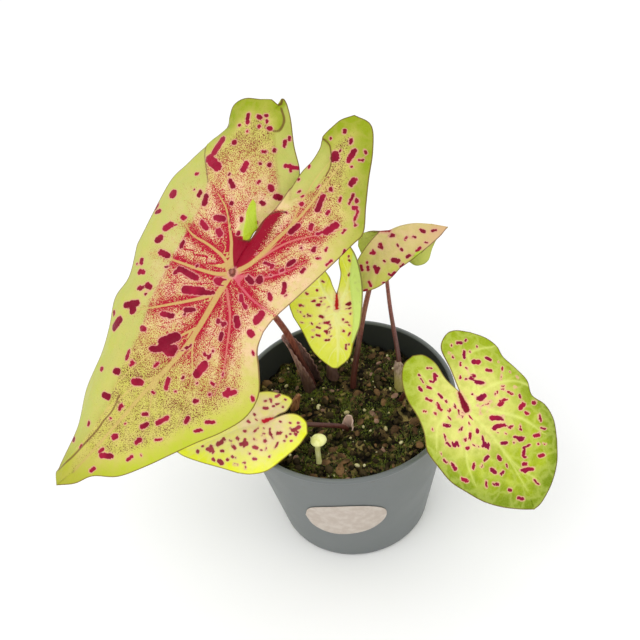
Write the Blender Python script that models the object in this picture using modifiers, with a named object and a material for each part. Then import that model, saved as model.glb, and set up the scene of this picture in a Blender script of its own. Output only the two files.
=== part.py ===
"""Caladium in a plastic pot: heart-shaped spotted leaves on slim stems rising from a buried tuber.

Units are metres in the scene, and millimetres in the tables below. +Z is up, the front faces -Y,
and the origin is the centre of the pot's foot, on the surface that it stands on.
"""
import bpy
import bmesh
import math
import numpy as np
from mathutils import Matrix, Vector

MM = 0.001

# Pot
POT_TOP_R = 60.0
POT_FOOT_R = 43.0
POT_HEIGHT = 90.0
POT_WALL = 1.6
POT_FLOOR = 2.2
POT_LIP = 0.7
DRAIN_RING_R = 27.0
DRAIN_R = 4.0
DRAIN_COUNT = 6
STEPS = 48

# Soil and what is under it
SOIL_TOP = 76.0
CLEAR = 0.3
TUBER_CENTRE = (5.0, 8.0, 43.0)
TUBER_RADII = (32.0, 25.0, 13.0)

# Leaves: thickness, samples along each third of a half outline, and rings from the ribs to the margin
BLADE = 0.8
ACROSS = (0.22, 0.45, 0.68, 0.86, 1.0)
JOIN = 0.45

# Blank sticker: half outline sizes on the wall, and its place
LABEL_X = -8.0
LABEL_Z = 46.0
LABEL = [(-23, -2), (-20, 8), (-12, 14), (2, 17), (14, 14), (22, 6), (22, -4), (15, -12), (4, -16),
         (-9, -17), (-19, -12)]

# Each leaf is a sheet in its own plane, in mm, with the stem's joint at (0, 0), the tip at -Y and
# the upper side facing +Z. A rib row is (x, y, height). A margin row is (x, y, height, arch), where
# the arch is how far the blade bulges above a straight line from rib to margin. A half margin has
# three runs: tip to side, side to lobe, and lobe back to the notch. place is the joint's position
# in the plant, and turn the rotation in degrees.
LEAVES = {
    "leaf_1": {
        "place": (-46, -18, 198), "turn": (41, 22, -42), "samples": (10, 15), "calm": 20,
        "midrib": [(0, 0, 0), (0, -9, -1), (2, -40, -3), (-2, -72, -5), (-6, -103, -9), (-10, -128, -13)],
        "left_rib": [(0, 0, 0), (-11, 20, -1), (-24, 43, -3), (-34, 61, -7)],
        "right_rib": [(0, 0, 0), (7, 20, 0), (10, 47, -3), (9, 62, -5), (5, 75, -8)],
        "left": [
            [(-14, -140, -16, 0), (-19, -134, -17, 1), (-24, -111, -18, 3), (-32, -93, -18, 6),
             (-36, -74, -17, 7), (-41, -61, -17, 7), (-47, -48, -16, 7), (-47, -35, -15, 6),
             (-53, -20, -14, 6)],
            [(-53, -20, -14, 6), (-57, 2, -15, 5), (-59, 16, -16, 5), (-57, 26, -16, 5), (-54, 39, -15, 4),
             (-50, 49, -13, 3), (-50, 55, -11, 2), (-52, 62, -10, 2), (-49, 68, -9, 2), (-42, 72, -8, 2)],
            [(-42, 72, -8, 2), (-38, 75, -8, 1), (-33, 75, -9, 0), (-34, 79, -11, 0), (-27, 74, -13, 0),
             (-17, 64, -14, 0), (-7, 56, -13, 0), (-1, 46, -11, 0), (-1, 36, -8, 0), (-3, 28, -6, 0),
             (-4, 21, -4, 0), (-3, 16, -2, 0)]],
        "right": [
            [(-14, -140, -16, 0), (-6, -132, -14, 0), (0, -122, -11, 0), (11, -113, -9, 0), (20, -99, -6, 1),
             (27, -86, -4, 1), (34, -73, -2, 1), (41, -61, -1, 1), (46, -48, 0, 1), (45, -36, 2, 0),
             (38, -26, 4, -1), (32, -20, 3, -1), (29, -12, 1, 0)],
            [(29, -12, 1, 0), (29, -4, 0, 1), (32, 12, -1, 2), (35, 32, -4, 2), (36, 44, -8, 3),
             (36, 51, -11, 3), (29, 61, -14, 4), (22, 72, -15, 4), (15, 84, -16, 3), (7, 93, -16, 2),
             (-2, 92, -14, 2)],
            [(-2, 92, -14, 2), (-5, 87, -12, 1), (-6, 83, -11, 1), (-7, 75, -10, 0), (-5, 70, -10, 0),
             (-4, 63, -9, 0), (-4, 56, -6, 0), (-2, 45, -1, 0), (-1, 36, 2, 0), (-2, 28, 3, 0),
             (-2, 22, 2, 0), (-3, 16, -2, 0)]],
    },
    "leaf_2": {
        "place": (1, 14, 140), "turn": (53, 7, -3), "samples": (6, 7), "calm": 5,
        "midrib": [(0, 0, 0), (1, -16, -1), (1, -28, -3)],
        "left_rib": [(0, 0, 0), (-6, 8, 0), (-11, 18, -2)],
        "right_rib": [(0, 0, 0), (5, 10, 0), (7, 22, -2)],
        "left": [
            [(1, -32, -4, 0), (-3, -31, -3, 0), (-12, -23, -1, 1), (-18, -12, 0, 1), (-23, -4, 0, 1)],
            [(-23, -4, 0, 1), (-25, 3, 0, 1), (-23, 11, -1, 1), (-19, 19, -3, 1), (-13, 24, -5, 0)],
            [(-13, 24, -5, 0), (-8, 22, -4, 0), (-4, 17, -1, 0), (-2, 12, 0, 0), (0, 8, 0, 0)]],
        "right": [
            [(1, -32, -4, 0), (7, -26, -1, 0), (9, -17, 2, -1), (12, -8, 3, -1), (13, 3, 4, -1)],
            [(13, 3, 4, -1), (13, 11, 4, -1), (12, 19, 3, -1), (10, 27, 0, 0), (7, 33, -3, 0)],
            [(7, 33, -3, 0), (3, 31, -4, 0), (1, 25, -4, 0), (2, 18, -3, 0), (0, 8, 0, 0)]],
    },
    "leaf_3": {
        "place": (34, 46, 163), "turn": (4, -48, 85), "samples": (7, 8), "calm": 5,
        "under": (-3.8, 0.3, -1.6),
        "midrib": [(0, 0, 0), (2, -6, 0), (3, -14, -1), (2, -23, -1)],
        "left_rib": [(0, 0, 0), (-11, 7, 3), (-21, 13, 5)],
        "right_rib": [(0, 0, 0), (0, 3, -6), (-1, 7, -11)],
        "left": [
            [(0, -32, -3, 0), (-5, -27, 0, 0), (-9, -22, 2, 1), (-14, -15, 5, 1), (-18, -9, 6, 2),
             (-21, -4, 7, 2)],
            [(-21, -4, 7, 2), (-25, 0, 8, 2), (-28, 4, 8, 2), (-31, 10, 8, 2), (-32, 16, 7, 1),
             (-30, 21, 5, 0)],
            [(-30, 21, 5, 0), (-23, 21, 4, 0), (-15, 18, 3, 0), (-7, 12, 2, 0), (0, 5, -1, 0)]],
        "right": [
            [(0, -32, -3, 0), (-3, -28, -8, 0), (-10, -24, -14, 0), (-17, -21, -14, 0), (-19, -15, -14, 0),
             (-15, -10, -16, 0)],
            [(-15, -10, -16, 0), (-13, -6, -18, 0), (-13, 0, -18, 0), (-16, 7, -18, 0), (-13, 13, -18, 0),
             (-6, 16, -18, 0)],
            [(-6, 16, -18, 0), (-1, 15, -16, 0), (1, 11, -13, 0), (1, 8, -8, 0), (0, 5, -1, 0)]],
    },
    "leaf_4": {
        "place": (-44, -25, 103), "turn": (22, 29, -79), "samples": (6, 7), "calm": 5,
        "midrib": [(0, 0, 0), (-1, -14, -1), (-1, -31, -3), (-2, -49, -7)],
        "left_rib": [(0, 0, 0), (-5, 7, -1), (-8, 12, -3)],
        "right_rib": [(0, 0, 0), (4, 8, -1), (10, 16, -3)],
        "left": [
            [(-3, -55, -9, 0), (-7, -48, -6, 0), (-11, -36, -2, 1), (-14, -23, 0, 1), (-16, -9, 1, 1)],
            [(-16, -9, 1, 1), (-16, -2, 1, 1), (-15, 6, 0, 1), (-12, 12, -2, 1), (-9, 16, -4, 0)],
            [(-9, 16, -4, 0), (-6, 17, -4, 0), (-2, 13, -3, 0), (-1, 9, -1, 0), (0, 6, 0, 0)]],
        "right": [
            [(-3, -55, -9, 0), (1, -51, -8, 0), (8, -41, -4, 1), (15, -30, -1, 1), (21, -21, 0, 1)],
            [(21, -21, 0, 1), (24, -14, 0, 1), (25, -5, 0, 1), (22, 5, 0, 1), (18, 14, -2, 1),
             (13, 20, -4, 0)],
            [(13, 20, -4, 0), (7, 21, -4, 0), (2, 18, -3, 0), (0, 13, -1, 0), (0, 6, 0, 0)]],
    },
    "leaf_5": {
        "place": (59, -43, 114), "turn": (39, -8, 30), "samples": (7, 9), "calm": 5,
        "midrib": [(0, 0, 0), (3, -19, -1), (4, -35, -3), (4, -52, -7)],
        "left_rib": [(0, 0, 0), (-4, 12, 0), (-6, 29, -2)],
        "right_rib": [(0, 0, 0), (9, 11, 0), (19, 28, -2)],
        "left": [
            [(2, -62, -9, 0), (-5, -57, -7, 0), (-13, -50, -5, 1), (-20, -42, -2, 1), (-25, -33, 0, 1),
             (-29, -24, 1, 1), (-30, -14, 1, 1)],
            [(-30, -14, 1, 1), (-30, -5, 1, 1), (-26, 3, 1, 1), (-24, 11, 1, 1), (-23, 21, 0, 1),
             (-19, 30, -2, 1), (-13, 36, -3, 0), (-6, 37, -4, 0)],
            [(-6, 37, -4, 0), (-1, 34, -4, 0), (1, 27, -2, 0), (0, 18, 0, 0), (2, 9, 0, 0)]],
        "right": [
            [(2, -62, -9, 0), (7, -61, -7, 0), (16, -56, -4, 1), (24, -49, -2, 1), (30, -40, 0, 1)],
            [(30, -40, 0, 1), (35, -31, 0, 1), (36, -22, 0, 1), (33, -14, 0, 1), (36, -7, -1, 1),
             (35, 2, -2, 1), (33, 10, -2, 1), (34, 16, -3, 0), (32, 23, -4, 0), (27, 30, -5, 0)],
            [(27, 30, -5, 0), (21, 35, -5, 0), (15, 36, -4, 0), (8, 32, -2, 0), (5, 21, 0, 0),
             (2, 9, 0, 0)]],
    },
    "leaf_6": {
        "place": (32, 64, 137), "turn": (60, 5, 177), "samples": (5, 5), "calm": 5,
        "midrib": [(0, 0, 0), (0, -10, -1), (0, -24, -3)],
        "left_rib": [(0, 0, 0), (-3, 5, 0), (-4, 9, -1)],
        "right_rib": [(0, 0, 0), (3, 5, 0), (4, 9, -1)],
        "left": [
            [(0, -28, -4, 0), (-3, -24, -1, 0), (-7, -15, 2, -1), (-9, -6, 4, -1)],
            [(-9, -6, 4, -1), (-9, 1, 4, -1), (-8, 7, 3, -1), (-5, 12, 1, 0)],
            [(-5, 12, 1, 0), (-2, 11, 0, 0), (-1, 8, 0, 0), (0, 5, 0, 0)]],
        "right": [
            [(0, -28, -4, 0), (3, -24, -1, 0), (7, -15, 2, -1), (9, -6, 4, -1)],
            [(9, -6, 4, -1), (9, 1, 4, -1), (8, 7, 3, -1), (5, 12, 1, 0)],
            [(5, 12, 1, 0), (2, 11, 0, 0), (1, 8, 0, 0), (0, 5, 0, 0)]],
    },
}

# Each stem's foot on the tuber (x, y), the points that it passes, and its radius at foot and top
STEMS = {
    "petiole_1": {"foot": (-14, 21), "via": [(-17, 24, 76), (-22, 23, 98), (-26, 19, 120), (-33, 9, 148)],
                  "radii": (2.1, 1.5)},
    "petiole_2": {"foot": (-4, 25), "via": [(-5, 28, 76), (-3, 31, 105), (-1, 27, 128)],
                  "radii": (1.6, 1.0)},
    "petiole_3": {"foot": (6, 18), "via": [(6, 20, 76), (10, 25, 95), (17, 35, 119), (25, 42, 141)],
                  "radii": (1.9, 1.2)},
    "petiole_4": {"foot": (1, -9), "via": [(0, -12, 70), (-1, -14, 77), (-6, -18, 85), (-24, -22, 94),
                                           (-38, -22, 97)], "radii": (1.5, 1.1)},
    "petiole_5": {"foot": (27, 4), "via": [(31, 3, 76), (37, -5, 92), (47, -22, 107)],
                  "radii": (1.6, 1.2)},
    "petiole_6": {"foot": (28, 12), "via": [(32, 13, 70), (33, 15, 79), (33, 23, 92), (32, 43, 109),
                                            (32, 56, 126)], "radii": (1.6, 1.0)},
}

# Old leaf bases that wrap the stems: centre line (x, y, z, radius, half opening in degrees), and
# the direction, in degrees from +X, that the closed back faces
SHEATHS = {
    "sheath_1": {"back": 150, "rows": [(-17, 24, 70, 5.2, 150), (-18, 24, 84, 5.0, 135),
                                       (-21, 23, 99, 4.4, 110), (-24, 21.5, 111, 3.6, 80),
                                       (-27, 20, 119, 3.0, 30)]},
    "sheath_2": {"back": 200, "rows": [(-5, 28, 70, 3.6, 140), (-4.5, 28.5, 80, 3.4, 120),
                                       (-4, 29.5, 88, 2.9, 85), (-4.5, 30, 93, 2.5, 30)]},
    "sheath_3": {"back": 250, "rows": [(32, 13, 70, 3.4, 140), (33, 15, 79, 3.3, 120),
                                       (33, 18.5, 86, 2.9, 85), (33, 21, 91, 2.6, 30)]},
    "sheath_4": {"back": 60, "rows": [(0, -12.5, 71, 2.8, 140), (-0.3, -13.2, 76, 2.8, 120),
                                      (-0.5, -13.6, 81, 2.6, 85), (0, -14, 85, 2.6, 30)]},
}


def clear_scene():
    for obj in list(bpy.data.objects):
        bpy.data.objects.remove(obj, do_unlink=True)


def make_collection(name):
    coll = bpy.data.collections.new(name)
    bpy.context.scene.collection.children.link(coll)
    return coll


def material(name, color, roughness, metallic=0.0):
    mat = bpy.data.materials.new(name)
    mat.use_nodes = True
    bsdf = mat.node_tree.nodes["Principled BSDF"]
    bsdf.inputs["Base Color"].default_value = (*color, 1.0)
    bsdf.inputs["Roughness"].default_value = roughness
    bsdf.inputs["Metallic"].default_value = metallic
    mat.diffuse_color = (*color, 1.0)
    return mat


def add_object(name, data, coll, mat=None):
    obj = bpy.data.objects.new(name, data)
    coll.objects.link(obj)
    if mat is not None:
        data.materials.clear()
        data.materials.append(mat)
    return obj


def smooth(mesh, angle=35.0):
    mesh.shade_smooth()
    mesh.set_sharp_from_angle(angle=math.radians(angle))


def to_mesh_object(obj, coll, mat=None):
    """Replace a curve or an object with modifiers by a plain mesh object of the same name."""
    bpy.context.view_layer.update()
    depsgraph = bpy.context.evaluated_depsgraph_get()
    mesh = bpy.data.meshes.new_from_object(obj.evaluated_get(depsgraph))
    bm = bmesh.new()
    bm.from_mesh(mesh)
    bmesh.ops.remove_doubles(bm, verts=bm.verts, dist=1e-6)
    bmesh.ops.recalc_face_normals(bm, faces=bm.faces)
    bm.to_mesh(mesh)
    bm.free()
    name = obj.name
    matrix = obj.matrix_world.copy()
    bpy.data.objects.remove(obj, do_unlink=True)
    new = add_object(name, mesh, coll, mat)
    new.matrix_world = matrix
    return new


def turned(name, profile, coll, steps=STEPS):
    """Turn a profile of (radius, height) in mm, listed from the top down the outside."""
    mesh = bpy.data.meshes.new(name)
    verts = [(r * MM, 0.0, z * MM) for r, z in profile]
    edges = [(i, i + 1) for i in range(len(verts) - 1)]
    mesh.from_pydata(verts, edges, [])
    obj = add_object(name, mesh, coll)
    screw = obj.modifiers.new("Turn", "SCREW")
    screw.axis = "Z"
    screw.angle = math.tau
    screw.steps = steps
    screw.render_steps = steps
    screw.use_merge_vertices = True
    screw.merge_threshold = 0.00001
    return to_mesh_object(obj, coll)


def as_cutter(obj):
    obj.hide_render = True
    obj.display_type = "WIRE"


def cut(obj, cutters):
    """Subtract each cutter from the object."""
    for cutter in cutters:
        as_cutter(cutter)
        mod = obj.modifiers.new("Cut", "BOOLEAN")
        mod.operation = "DIFFERENCE"
        mod.solver = "EXACT"
        mod.object = cutter


def spline(rows, count, ease=1.0):
    """A smooth curve through the rows, as count points along it, closer at the end if ease is below 1."""
    p = np.array(rows, dtype=float)
    ext = np.vstack([2 * p[0] - p[1], p, 2 * p[-1] - p[-2]])
    out = []
    for i in range(1, len(ext) - 2):
        a, b, c, d = ext[i - 1:i + 3]
        t = np.linspace(0, 1, 16, endpoint=False)[:, None]
        out.append(0.5 * (2 * b + (c - a) * t + (2 * a - 5 * b + 4 * c - d) * t ** 2
                          + (3 * b - a - 3 * c + d) * t ** 3))
    out = np.vstack(out + [p[-1:]])
    length = np.concatenate([[0], np.cumsum(np.linalg.norm(np.diff(out[:, :3], axis=0), axis=1))])
    at = np.linspace(0, 1, count) ** ease * length[-1]
    return np.stack([np.interp(at, length, out[:, k]) for k in range(out.shape[1])], axis=1)


def calmed(curve, reach):
    """The curve with its waves averaged out over reach points each way, and its ends kept."""
    head = 2 * curve[0] - curve[reach:0:-1]
    tail = 2 * curve[-1] - curve[-2:-reach - 2:-1]
    long = np.vstack([head, curve, tail])
    weights = np.hanning(2 * reach + 3)[1:-1]
    weights = weights / weights.sum()
    return np.stack([np.convolve(long[:, k], weights, mode="valid") for k in range(curve.shape[1])], axis=1)


def half_grid(leaf, side, rib, rings):
    """One half of a blade as rows of points from the ribs out to the margin, from tip to notch."""
    n_side, n_lobe = leaf["samples"]
    dense = [spline(run, 61) for run in leaf[side]]
    margin = np.vstack([dense[0], dense[1][1:], dense[2][1:]])
    along = np.arange(181) / 180
    ease = np.clip(6 * along, 0, 1) * np.clip(3 - 3 * along, 0, 1)
    calm = margin + (calmed(margin, leaf["calm"]) - margin) * ease[:, None]
    picks = np.concatenate([np.linspace(0, 60, n_side + 1), np.linspace(60, 120, n_lobe + 1)[1:],
                            np.linspace(120, 180, n_lobe + 1)[1:]])
    index = np.arange(181)
    margin = np.stack([np.interp(picks, index, margin[:, k]) for k in range(4)], axis=1)
    calm = np.stack([np.interp(picks, index, calm[:, k]) for k in range(4)], axis=1)
    mid = spline(leaf["midrib"], n_side + 1)[::-1]
    out = spline(leaf[rib], n_lobe + 1, ease=0.6)
    root = np.vstack([mid, out[1:], out[::-1][1:]])
    grid = [root]
    for s in rings:
        edge = calm + (margin - calm) * s ** 3
        row = root + s * (edge[:, :3] - root)
        row[:, 2] += edge[:, 3] * (1 - abs(2 * s - 1) ** 1.6)
        grid.append(row)
    return np.stack(grid, axis=1)


def blade(name, leaf, coll, mat):
    """A leaf: two half grids welded along the midrib and the notch, given its thickness."""
    bm = bmesh.new()
    for side, rib, flip in (("left", "left_rib", False), ("right", "right_rib", True)):
        grid = half_grid(leaf, side, rib, ACROSS) * MM
        verts = [[bm.verts.new(p) for p in row] for row in grid]
        for a, b in zip(verts, verts[1:]):
            for j in range(len(a) - 1):
                face = [a[j], b[j], b[j + 1], a[j + 1]]
                bm.faces.new(face[::-1] if flip else face)
    bmesh.ops.remove_doubles(bm, verts=bm.verts, dist=2e-6)
    bmesh.ops.dissolve_degenerate(bm, edges=bm.edges, dist=1e-6)
    bmesh.ops.triangulate(bm, faces=bm.faces, quad_method="SHORT_EDGE")
    mesh = bpy.data.meshes.new(name)
    bm.to_mesh(mesh)
    bm.free()
    smooth(mesh, 60)
    obj = add_object(name, mesh, coll, mat)
    obj.location = Vector(leaf["place"]) * MM
    obj.rotation_euler = [math.radians(a) for a in leaf["turn"]]
    shell = obj.modifiers.new("Thickness", "SOLIDIFY")
    shell.thickness = BLADE * MM
    shell.offset = -1.0
    return obj


def tuber_top(x, y):
    """Height and steepness of the tuber's top at (x, y)."""
    u = (x - TUBER_CENTRE[0]) / TUBER_RADII[0]
    v = (y - TUBER_CENTRE[1]) / TUBER_RADII[1]
    rise = math.sqrt(1 - u * u - v * v)
    slope = TUBER_RADII[2] / rise * math.hypot(u / TUBER_RADII[0], v / TUBER_RADII[1])
    return TUBER_CENTRE[2] + TUBER_RADII[2] * rise, slope


def stem_path(stem, leaf):
    """Points of a stem from just above the tuber to just under its leaf's joint."""
    x, y = stem["foot"]
    top, slope = tuber_top(x, y)
    foot = (x, y, top + 0.5 + stem["radii"][0] * slope)
    turn = Matrix.Rotation(math.radians(leaf["turn"][2]), 3, "Z")
    turn = turn @ Matrix.Rotation(math.radians(leaf["turn"][1]), 3, "Y")
    turn = turn @ Matrix.Rotation(math.radians(leaf["turn"][0]), 3, "X")
    out = turn @ Vector(leaf.get("under", (0, 0, -BLADE - JOIN)))
    joint = Vector(leaf["place"]) + out
    under = joint + out.normalized() * 4
    rows = [foot] + list(stem["via"]) + [tuple(under), tuple(joint)]
    return spline(rows, 22)


def tube(name, path, radii, coll, mat=None, fineness=2):
    """A round stem along a path, thinning evenly from its foot to its top."""
    curve = bpy.data.curves.new(name, "CURVE")
    curve.dimensions = "3D"
    curve.bevel_depth = MM
    curve.bevel_resolution = fineness
    curve.use_fill_caps = True
    line = curve.splines.new("POLY")
    line.points.add(len(path) - 1)
    for i, p in enumerate(path):
        f = i / (len(path) - 1)
        line.points[i].co = (p[0] * MM, p[1] * MM, p[2] * MM, 1.0)
        line.points[i].radius = radii[0] + (radii[1] - radii[0]) * f
    obj = add_object(name, curve, coll)
    obj = to_mesh_object(obj, coll, mat)
    smooth(obj.data)
    return obj


def sheath(name, spec, coll, mat):
    """A pointed gutter-shaped leaf base round the foot of a stem."""
    rows = spline(spec["rows"], 9)
    bm = bmesh.new()
    verts = []
    for x, y, z, r, half in rows:
        line = []
        for k in range(9):
            a = math.radians(spec["back"] + half * (k / 4 - 1))
            line.append(bm.verts.new(((x + r * math.cos(a)) * MM, (y + r * math.sin(a)) * MM, z * MM)))
        verts.append(line)
    for a, b in zip(verts, verts[1:]):
        for j in range(8):
            bm.faces.new((a[j], a[j + 1], b[j + 1], b[j]))
    bmesh.ops.triangulate(bm, faces=bm.faces, quad_method="SHORT_EDGE")
    mesh = bpy.data.meshes.new(name)
    bm.to_mesh(mesh)
    bm.free()
    smooth(mesh, 50)
    obj = add_object(name, mesh, coll, mat)
    shell = obj.modifiers.new("Thickness", "SOLIDIFY")
    shell.thickness = 0.7 * MM
    shell.offset = 1.0
    return obj


def wall_radius(z):
    return POT_FOOT_R + (POT_TOP_R - POT_FOOT_R) * z / POT_HEIGHT


def make_pot(coll, cutters, mat):
    inner_foot = wall_radius(POT_FLOOR) - POT_WALL
    profile = [(POT_TOP_R - 1.0, POT_HEIGHT), (POT_TOP_R + POT_LIP, POT_HEIGHT - 0.6),
               (POT_TOP_R + POT_LIP, POT_HEIGHT - 2.2), (wall_radius(86.5), 86.5), (POT_FOOT_R + 0.6, 3.0),
               (POT_FOOT_R - 0.6, 0.7), (POT_FOOT_R - 2.0, 0.0), (0.0, 0.0)]
    inside = [(0.0, POT_FLOOR), (inner_foot - 2.0, POT_FLOOR), (inner_foot, POT_FLOOR + 1.5),
              (wall_radius(POT_HEIGHT) - POT_WALL, POT_HEIGHT - 0.4), (POT_TOP_R - 1.0, POT_HEIGHT)]
    pot = turned("pot", profile + inside, coll)
    pot.data.materials.append(mat)
    holes = []
    for i in range(DRAIN_COUNT):
        a = math.tau * i / DRAIN_COUNT
        bpy.ops.mesh.primitive_cylinder_add(vertices=16, radius=DRAIN_R * MM, depth=8 * MM)
        hole = bpy.context.object
        hole.name = f"drain_cut_{i}"
        hole.location = (DRAIN_RING_R * math.cos(a) * MM, DRAIN_RING_R * math.sin(a) * MM, 1.0 * MM)
        for c in list(hole.users_collection):
            c.objects.unlink(hole)
        cutters.objects.link(hole)
        holes.append(hole)
    cut(pot, holes)
    smooth(pot.data)
    return pot


def lumps(x, y):
    """Height of the potting mix above its mean level, all by formula."""
    h = 1.3 * math.sin(0.21 * x + 0.6) * math.cos(0.19 * y - 0.8)
    h += 0.8 * math.sin(0.43 * x - 0.35 * y + 1.1) + 0.6 * math.cos(0.52 * y + 0.3 * x)
    return h


def make_soil(coll, mat):
    wall = POT_WALL + CLEAR
    top_r = wall_radius(SOIL_TOP) - wall
    foot_r = wall_radius(POT_FLOOR) - wall
    rings = [(top_r * f, SOIL_TOP) for f in (0.0, 0.14, 0.28, 0.42, 0.56, 0.7, 0.84, 0.94, 1.0)]
    low = [(foot_r + 0.3, POT_FLOOR + 1.9), (foot_r - 2.0, POT_FLOOR + CLEAR), (0.0, POT_FLOOR + CLEAR)]
    soil = turned("soil", rings + low, coll)
    soil.data.materials.append(mat)
    for v in soil.data.vertices:
        r = math.hypot(v.co.x, v.co.y) / MM
        if v.co.z > (SOIL_TOP - 1) * MM and r < top_r - 1:
            v.co.z += lumps(v.co.x / MM, v.co.y / MM) * MM
    smooth(soil.data, 60)
    return soil


def ellipsoid(name, centre, radii, coll, mat=None, segments=24, rings=12):
    bm = bmesh.new()
    bmesh.ops.create_uvsphere(bm, u_segments=segments, v_segments=rings, radius=1.0)
    bmesh.ops.scale(bm, vec=[r * MM for r in radii], verts=bm.verts)
    mesh = bpy.data.meshes.new(name)
    bm.to_mesh(mesh)
    bm.free()
    smooth(mesh, 60)
    obj = add_object(name, mesh, coll, mat)
    obj.location = Vector(centre) * MM
    return obj


def make_label(coll, mat):
    """The bare sticker: a pebble outline laid on the sloping wall."""
    outline = spline(LABEL + LABEL[:1], 29)[:-1]
    bm = bmesh.new()

    def on_wall(x, dz):
        z = LABEL_Z + dz * 0.98
        r = wall_radius(z) + CLEAR
        a = (LABEL_X + x) / r
        return (r * math.sin(a) * MM, -r * math.cos(a) * MM, z * MM)

    middle = bm.verts.new(on_wall(0, 0))
    loops = [[bm.verts.new(on_wall(x * f, z * f)) for x, z in outline] for f in (0.35, 0.7, 1.0)]
    n = len(outline)
    for i in range(n):
        k = (i + 1) % n
        bm.faces.new((middle, loops[0][k], loops[0][i]))
        for a, b in zip(loops, loops[1:]):
            bm.faces.new((a[i], a[k], b[k], b[i]))
    bmesh.ops.recalc_face_normals(bm, faces=bm.faces)
    bm.faces.ensure_lookup_table()
    if bm.faces[0].normal.y > 0:
        bmesh.ops.reverse_faces(bm, faces=bm.faces)
    bmesh.ops.triangulate(bm, faces=bm.faces)
    mesh = bpy.data.meshes.new("label")
    bm.to_mesh(mesh)
    bm.free()
    smooth(mesh, 60)
    obj = add_object("label", mesh, coll, mat)
    shell = obj.modifiers.new("Thickness", "SOLIDIFY")
    shell.thickness = 0.3 * MM
    shell.offset = 1.0
    return obj


def main():
    clear_scene()
    coll = make_collection("caladium")
    cutters = make_collection("cutters")
    pot_mat = material("pot", (0.20, 0.215, 0.215), 0.5)
    soil_mat = material("soil", (0.03, 0.022, 0.014), 0.95)
    leaf_mat = material("leaf", (0.55, 0.56, 0.12), 0.5)
    stem_mat = material("petiole", (0.24, 0.055, 0.04), 0.45)
    sheath_mat = material("sheath", (0.17, 0.07, 0.06), 0.6)
    tuber_mat = material("tuber", (0.20, 0.11, 0.06), 0.9)
    label_mat = material("label", (0.68, 0.62, 0.58), 0.7)
    bud_mat = material("bud", (0.32, 0.13, 0.06), 0.6)
    cap_mat = material("mushroom", (0.85, 0.83, 0.36), 0.7)

    make_pot(coll, cutters, pot_mat)
    make_label(coll, label_mat)
    soil = make_soil(coll, soil_mat)
    ellipsoid("tuber", TUBER_CENTRE, TUBER_RADII, coll, tuber_mat)

    pocket = ellipsoid("tuber_cut", TUBER_CENTRE, [r + 0.5 for r in TUBER_RADII], cutters)
    soil_cutters = [pocket]
    for number in range(1, 7):
        name = f"petiole_{number}"
        stem = STEMS[name]
        leaf = LEAVES[f"leaf_{number}"]
        blade(f"leaf_{number}", leaf, coll, leaf_mat)
        path = stem_path(stem, leaf)
        tube(name, path, stem["radii"], coll, stem_mat)
        low = np.array([p for p in path if p[2] < SOIL_TOP + 10])
        start = low[0] - 3 * (low[1] - low[0]) / np.linalg.norm(low[1] - low[0])
        wide = stem["radii"][0] + 0.5
        soil_cutters.append(tube(f"{name}_cut", np.vstack([start, low]), (wide, wide), cutters))

    for name, spec in SHEATHS.items():
        sheath(name, spec, coll, sheath_mat)
        a, b = [np.array(row[:3]) for row in spec["rows"][:2]]
        wide = spec["rows"][0][3] + 1.5
        step = (b - a) / np.linalg.norm(b - a)
        socket = np.array([a - 1.6 * step, b + 3 * step])
        soil_cutters.append(tube(f"{name}_cut", socket, (wide, wide), cutters, fineness=4))

    bud = tube("shoot_bud", spline([(-29, 6, 71, 2.4), (-28, 6, 80, 2.6), (-25, 6, 88, 1.0)], 7)[:, :3],
               (2.6, 0.9), coll, bud_mat)
    soil_cutters.append(tube("bud_cut", np.array([(-29.2, 6, 70.6), (-28.2, 6, 82)]), (3.1, 3.0), cutters))

    cap = turned("mushroom", [(0, 96), (2.4, 95.6), (4.1, 94.2), (4.7, 92.2), (4.1, 91.2), (2.1, 91.4),
                              (1.7, 89.5), (1.5, 80), (1.8, 72), (0, 72)], coll, 16)
    cap.data.materials.append(cap_mat)
    cap.location = (-18 * MM, -34 * MM, 0)
    smooth(cap.data)
    stalk = np.array([(-18, -34, 71.6), (-18, -34, 84)])
    soil_cutters.append(tube("mushroom_cut", stalk, (2.2, 2.2), cutters))
    cut(soil, soil_cutters)


main()
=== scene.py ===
"""Potted caladium: the looks of the plant, its pot and its potting mix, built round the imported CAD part.

Tables are in millimetres, and the scene is in metres.
"""

import math

import bpy
import bmesh
import numpy as np
from mathutils import Matrix, Vector


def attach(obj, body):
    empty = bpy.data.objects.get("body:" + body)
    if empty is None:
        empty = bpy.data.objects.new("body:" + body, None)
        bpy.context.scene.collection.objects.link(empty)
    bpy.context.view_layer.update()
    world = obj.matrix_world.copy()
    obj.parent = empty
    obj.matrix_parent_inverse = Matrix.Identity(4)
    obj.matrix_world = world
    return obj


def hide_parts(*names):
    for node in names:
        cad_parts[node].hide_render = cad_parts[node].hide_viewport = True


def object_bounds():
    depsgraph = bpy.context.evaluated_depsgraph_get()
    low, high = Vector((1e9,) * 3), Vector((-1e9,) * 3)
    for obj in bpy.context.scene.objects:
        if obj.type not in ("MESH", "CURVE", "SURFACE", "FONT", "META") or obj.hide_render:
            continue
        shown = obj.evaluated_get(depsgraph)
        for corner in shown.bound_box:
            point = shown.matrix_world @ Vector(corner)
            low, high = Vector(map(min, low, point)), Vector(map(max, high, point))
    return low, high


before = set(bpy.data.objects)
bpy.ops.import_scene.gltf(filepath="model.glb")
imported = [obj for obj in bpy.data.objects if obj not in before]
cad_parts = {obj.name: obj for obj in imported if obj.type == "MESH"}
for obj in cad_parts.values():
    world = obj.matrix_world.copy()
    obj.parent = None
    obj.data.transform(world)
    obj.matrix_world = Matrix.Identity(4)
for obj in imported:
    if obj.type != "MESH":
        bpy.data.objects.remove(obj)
cad_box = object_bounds()
plant = bpy.context.scene.collection
MM = 0.001


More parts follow.
